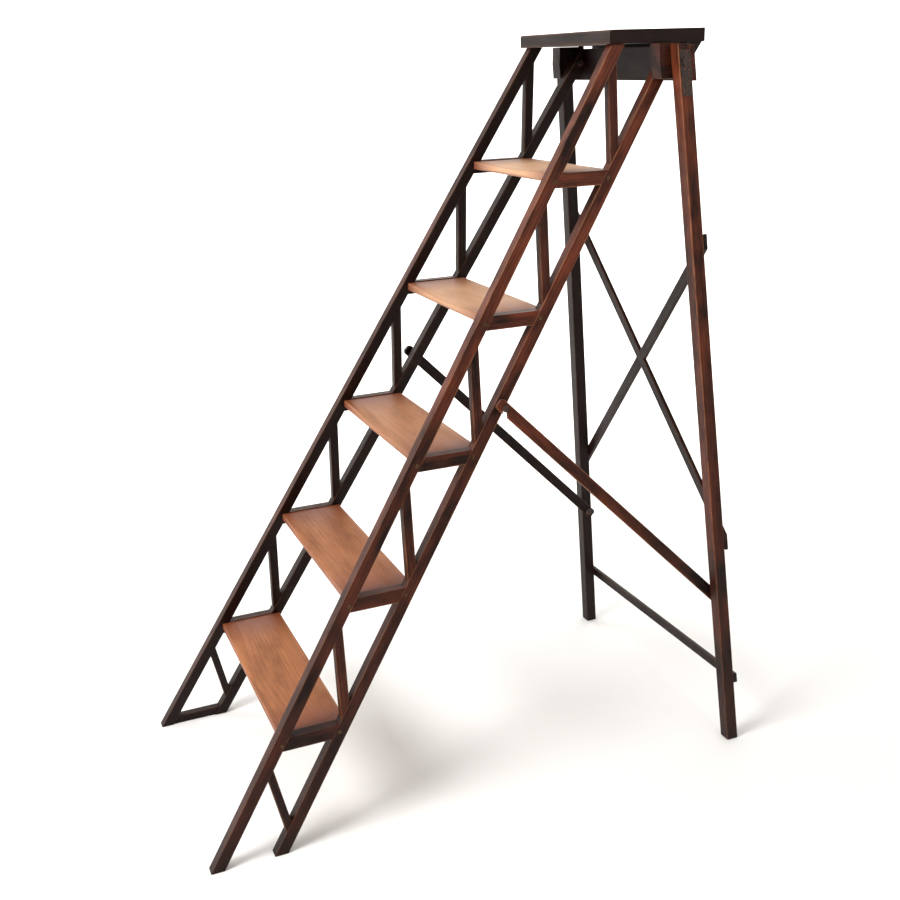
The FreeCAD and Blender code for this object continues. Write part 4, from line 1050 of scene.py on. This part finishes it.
class LADDER_OT_bearers(bpy.types.Operator):
    """Dress the ten tread bearers and the foot rail"""

    bl_idname = "ladder.bearers"
    bl_label = "Dress the Bearers"

    def execute(self, context):
        arris = context.scene.ladder_sizes.member_arris
        for step in range(1, 6):
            for side in SIDES:
                dress_stick(f"bearer_{step}_{side}", "varnished_wood", arris)
        dress_stick("foot_rail_left", "varnished_wood", arris)
        return {"FINISHED"}


class LADDER_OT_struts(bpy.types.Operator):
    """Grow the twelve struts between the stiles"""

    bl_idname = "ladder.struts"
    bl_label = "Grow the Struts"

    def execute(self, context):
        sizes = context.scene.ladder_sizes
        places, marks = [], {label: [] for label in (
            "edge_across", "edge_slope", "edge_along", "bar_size", "grain_shift", "shade_darkening")}
        for node in STRUTS:
            shape = merged_copy(node)
            middle, across, slope, along = bar_edges(shape)
            shape.free()
            unit = along.normalized()
            places.append(middle)
            marks["edge_across"].append(across)
            marks["edge_slope"].append(slope)
            marks["edge_along"].append(along)
            square = slope - unit * slope.dot(unit)
            marks["bar_size"].append((across.length, square.length, along.length))
            marks["grain_shift"].append(grain_shift(node))
            # Painted shade for the struts, as for the other pieces.
            kept = sizes.strut_stain_left if node.endswith("left") else sizes.strut_stain_right
            marks["shade_darkening"].append((kept, kept, kept))
        start = start_points("strut_points", places, marks)
        bar = marks["bar_size"][0][0]
        grown = grow("lattice_struts", start, strut_tree(), {
            "Bar": bar, "Arris": sizes.member_arris, "Finish": finish_for("varnished_wood")})
        show("lattice_struts", grown, "varnished_wood", *STRUTS)
        return {"FINISHED"}


class LADDER_OT_treads(bpy.types.Operator):
    """Grow the five treads, worn bare and hollow"""

    bl_idname = "ladder.treads"
    bl_label = "Grow the Treads"

    def execute(self, context):
        sizes = context.scene.ladder_sizes
        tree = tread_tree()
        for node in TREADS:
            low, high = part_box(node)
            corners = [v.co for v in frame["nodes"][node].data.vertices]
            top = max(c.x for c in corners if c.z > high.z - SAME_PLANE)
            foot = max(c.x for c in corners if c.z < low.z + SAME_PLANE)
            start = start_points(node, [Vector()], {})
            grown = grow(f"trodden_{node}", start, tree, {
                "Length": top + foot, "Flare": top - foot, "Depth": high.y - low.y,
                "Thickness": high.z - low.z, "Arris": sizes.tread_arris,
                "Hollow": sizes.tread_hollow, "Nose Wear": sizes.nose_wear,
                "Centre": (low + high) / 2, "Grain Shift": grain_shift(node),
                "Finish": finish_for("worn_tread")})
            show(f"trodden_{node}", grown, "worn_tread", node)
        return {"FINISHED"}


class LADDER_OT_platform(bpy.types.Operator):
    """Dress the top platform and the batten under its back edge"""

    bl_idname = "ladder.platform"
    bl_label = "Dress the Platform"

    def execute(self, context):
        sizes = context.scene.ladder_sizes
        shape = merged_copy("platform")
        axes = stick_axes(shape)
        middle, half = section_place(shape, axes)
        low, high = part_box("platform")
        nose = [
            edge for edge in corner_edges(shape, axes, middle, half)
            if all(v.co.z > high.z - SAME_PLANE and v.co.y < low.y + SAME_PLANE
                   for v in edge.verts)
        ]
        round_arrises(shape, nose, sizes.platform_nose, segments=5)
        # What is left are the board's square corners; the nose's own short edges stay out.
        others = [
            edge for edge in corner_edges(shape, axes, middle, half)
            if edge.calc_length() > SHORT_EDGE and edge.calc_face_angle() > SQUARE_ANGLE
        ]
        round_arrises(shape, others, sizes.member_arris)
        mark_grain(shape, axes, middle, half, "platform")
        mesh = rubbed_mesh(shape, "platform", finish_for("worn_platform"))
        show("rubbed_platform", mesh, "worn_platform", "platform")
        dress_stick("platform_batten", "varnished_wood", sizes.member_arris)
        return {"FINISHED"}


class LADDER_OT_rear_frame(bpy.types.Operator):
    """Dress the folding rear frame: legs, apron, crossed laths and lower rail"""

    bl_idname = "ladder.rear_frame"
    bl_label = "Dress the Rear Frame"

    def execute(self, context):
        arris = context.scene.ladder_sizes.member_arris
        for node in ("rear_leg_left", "rear_leg_right", "apron_rail", "lower_rail",
                     "brace_lath_rising_left", "brace_lath_rising_right"):
            dress_stick(node, "varnished_wood", arris)
        return {"FINISHED"}


class LADDER_OT_stays(bpy.types.Operator):
    """Dress the two hooked stays that hold the ladder open"""

    bl_idname = "ladder.stays"
    bl_label = "Dress the Stays"

    def execute(self, context):
        arris = context.scene.ladder_sizes.member_arris
        for side in SIDES:
            dress_stick(f"stay_{side}", "varnished_wood", arris)
        return {"FINISHED"}


class LADDER_OT_ironwork(bpy.types.Operator):
    """Dress the straps, pivot bolts, nuts, studs, coach screws and washers"""

    bl_idname = "ladder.ironwork"
    bl_label = "Dress the Ironwork"

    def execute(self, context):
        arris = context.scene.ladder_sizes.iron_arris
        for side in SIDES:
            for part in ("leg_plate", "pivot_bolt", "pivot_nut", "stay_stud", "stay_screw",
                         "stay_washer"):
                dress_iron(f"{part}_{side}", arris)
        return {"FINISHED"}


class LADDER_OT_screws(bpy.types.Operator):
    """Grow the slotted screws of the sides, the platform and the rear frame"""

    bl_idname = "ladder.screws"
    bl_label = "Grow the Screws"

    def execute(self, context):
        sizes = context.scene.ladder_sizes
        tree = screw_tree()
        for name, nodes in (("ladder_screws", ("side_screws", "platform_screws")),
                            ("rear_screws", ("rear_frame_screws",))):
            places, facings = [], []
            for node in nodes:
                heads, ways = screw_heads(node)
                places += heads
                facings += ways
            start = start_points(name, places, {"facing": facings})
            grown = grow(name, start, tree, {
                "Head Radius": sizes.screw_head_radius, "Head Depth": sizes.screw_head_depth,
                "Shank Radius": sizes.screw_shank_radius, "Length": sizes.screw_length,
                "Slot Width": sizes.slot_width, "Slot Depth": sizes.slot_depth,
                "Seed": sizes.slot_seed, "Finish": finish_for("brass_screw")})
            show(name, grown, "brass_screw", *nodes)
        return {"FINISHED"}


class LADDER_OT_stage(bpy.types.Operator):
    """Lay the pale floor, hang the soft lights and stand the camera"""

    bl_idname = "ladder.stage"
    bl_label = "Set the Stage"

    def execute(self, context):
        scene = context.scene
        scene.view_settings.view_transform = "Standard"
        self.lay_floor(scene)
        self.hang_lights(scene)
        self.stand_camera(scene)
        return {"FINISHED"}

    def lay_floor(self, scene):
        """A round floor that sweeps up into a wall on every side, so that no edge shows."""
        shape = bmesh.new()
        flat, sweep, wall = 6.0, 2.5, 6.0
        outline = [(0.02, 0.0)] + [(flat * at / 4, 0.0) for at in range(1, 5)]
        outline += [
            (flat + sweep * math.sin(turn), sweep - sweep * math.cos(turn))
            for turn in [math.radians(9 * at) for at in range(1, 11)]
        ]
        outline.append((flat + sweep, wall))
        verts = [shape.verts.new((out, 0, up)) for out, up in outline]
        edges = [shape.edges.new(pair) for pair in zip(verts, verts[1:])]
        bmesh.ops.spin(shape, geom=verts + edges, axis=(0, 0, 1), cent=(0, 0, 0),
                       angle=math.tau, steps=96)
        bmesh.ops.remove_doubles(shape, verts=shape.verts, dist=0.0005)
        rim = [edge for edge in shape.edges if edge.is_boundary and edge.verts[0].co.z < 0.01]
        bmesh.ops.contextual_create(shape, geom=rim)
        bmesh.ops.recalc_face_normals(shape, faces=shape.faces)
        mesh = bpy.data.meshes.new("floor")
        shape.to_mesh(mesh)
        shape.free()
        mesh.shade_smooth()
        mesh.materials.append(matt_floor_paint(scene.ladder_colours))
        floor = bpy.data.objects.new("floor", mesh)
        scene.collection.objects.link(floor)

    def hang_lights(self, scene):
        """A broad key from the upper front, weak fills, lamps on the far wall, and a dim sky."""
        stage = scene.ladder_stage
        middle = (cad_box[0] + cad_box[1]) / 2
        # Each lamp's name, place, aim, width in metres and power in watts.
        for name, place, aim, size, power in (
            ("key_light", (0.9, -3.1, 2.8), middle, 1.8, 165.0),
            ("top_light", (-0.4, 0.2, 4.4), middle, 2.8, 50.0),
            ("fill_light", (3.6, 1.4, 2.2), middle, 2.4, 18.0),
            ("wall_light_left", (-2.6, -1.4, 4.6), Vector((-8.0, -1.0, 1.2)), 2.2, 420.0),
            ("wall_light_right", (-1.6, 2.8, 4.6), Vector((-5.5, 6.5, 1.2)), 2.2, 420.0),
        ):
            lamp = bpy.data.lights.new(name, "AREA")
            lamp.shape = "DISK"
            lamp.size = size
            lamp.energy = power
            holder = bpy.data.objects.new(name, lamp)
            holder.location = place
            holder.rotation_euler = (aim - Vector(place)).to_track_quat("-Z", "Y").to_euler()
            scene.collection.objects.link(holder)
        world = bpy.data.worlds.new("dim_sky")
        world.use_nodes = True
        world.node_tree.nodes.clear()
        sky = add_node(world.node_tree, "ShaderNodeBackground",
                       {"Color": (1, 1, 1, 1), "Strength": stage.sky_strength})
        add_node(world.node_tree, "ShaderNodeOutputWorld", {"Surface": sky})
        scene.world = world

    def stand_camera(self, scene):
        """The camera, level with the platform and looking down across the treads."""
        stage = scene.ladder_stage
        ahead = Vector((
            -math.sin(stage.heading) * math.cos(stage.dip),
            math.cos(stage.heading) * math.cos(stage.dip),
            -math.sin(stage.dip),
        ))
        side = ahead.cross(Vector((0, 0, 1))).normalized()
        up = side.cross(ahead)
        across = math.cos(stage.roll) * side + math.sin(stage.roll) * up
        above = math.cos(stage.roll) * up - math.sin(stage.roll) * side
        lens = bpy.data.cameras.new("camera")
        lens.lens = stage.lens
        lens.sensor_width = 36.0
        lens.shift_x = stage.shift_right
        lens.shift_y = stage.shift_up
        camera = bpy.data.objects.new("camera", lens)
        camera.matrix_world = (
            Matrix.Translation((stage.stand_right, -stage.stand_front, stage.eye_height))
            @ Matrix((across, above, -ahead)).transposed().to_4x4()
        )
        scene.collection.objects.link(camera)
        scene.camera = camera


class LADDER_PT_panel(bpy.types.Panel):
    """Lists the ladder's operators in the order in which they run"""

    bl_idname = "LADDER_PT_panel"
    bl_label = "Lattice Step Ladder"
    bl_space_type = "VIEW_3D"
    bl_region_type = "UI"
    bl_category = "Ladder"

    def draw(self, context):
        for operator in OPERATORS:
            self.layout.operator(operator.bl_idname)
        for group in (context.scene.ladder_sizes, context.scene.ladder_colours,
                      context.scene.ladder_stage):
            box = self.layout.box()
            for name in group.__annotations__:
                box.prop(group, name)


OPERATORS = (
    LADDER_OT_stage,
    LADDER_OT_stiles,
    LADDER_OT_bearers,
    LADDER_OT_struts,
    LADDER_OT_treads,
    LADDER_OT_platform,
    LADDER_OT_rear_frame,
    LADDER_OT_stays,
    LADDER_OT_ironwork,
    LADDER_OT_screws,
)
CLASSES = (LadderSizes, LadderColours, LadderStage, *OPERATORS, LADDER_PT_panel)


def register():
    for kind in CLASSES:
        bpy.utils.register_class(kind)
    bpy.types.Scene.ladder_sizes = PointerProperty(type=LadderSizes)
    bpy.types.Scene.ladder_colours = PointerProperty(type=LadderColours)
    bpy.types.Scene.ladder_stage = PointerProperty(type=LadderStage)


def unregister():
    del bpy.types.Scene.ladder_stage
    del bpy.types.Scene.ladder_colours
    del bpy.types.Scene.ladder_sizes
    for kind in reversed(CLASSES):
        bpy.utils.unregister_class(kind)


def main():
    register()
    bpy.ops.ladder.stage()
    bpy.ops.ladder.stiles()
    bpy.ops.ladder.bearers()
    bpy.ops.ladder.struts()
    bpy.ops.ladder.treads()
    bpy.ops.ladder.platform()
    bpy.ops.ladder.rear_frame()
    bpy.ops.ladder.stays()
    bpy.ops.ladder.ironwork()
    bpy.ops.ladder.screws()


if __name__ == "__main__":
    main()
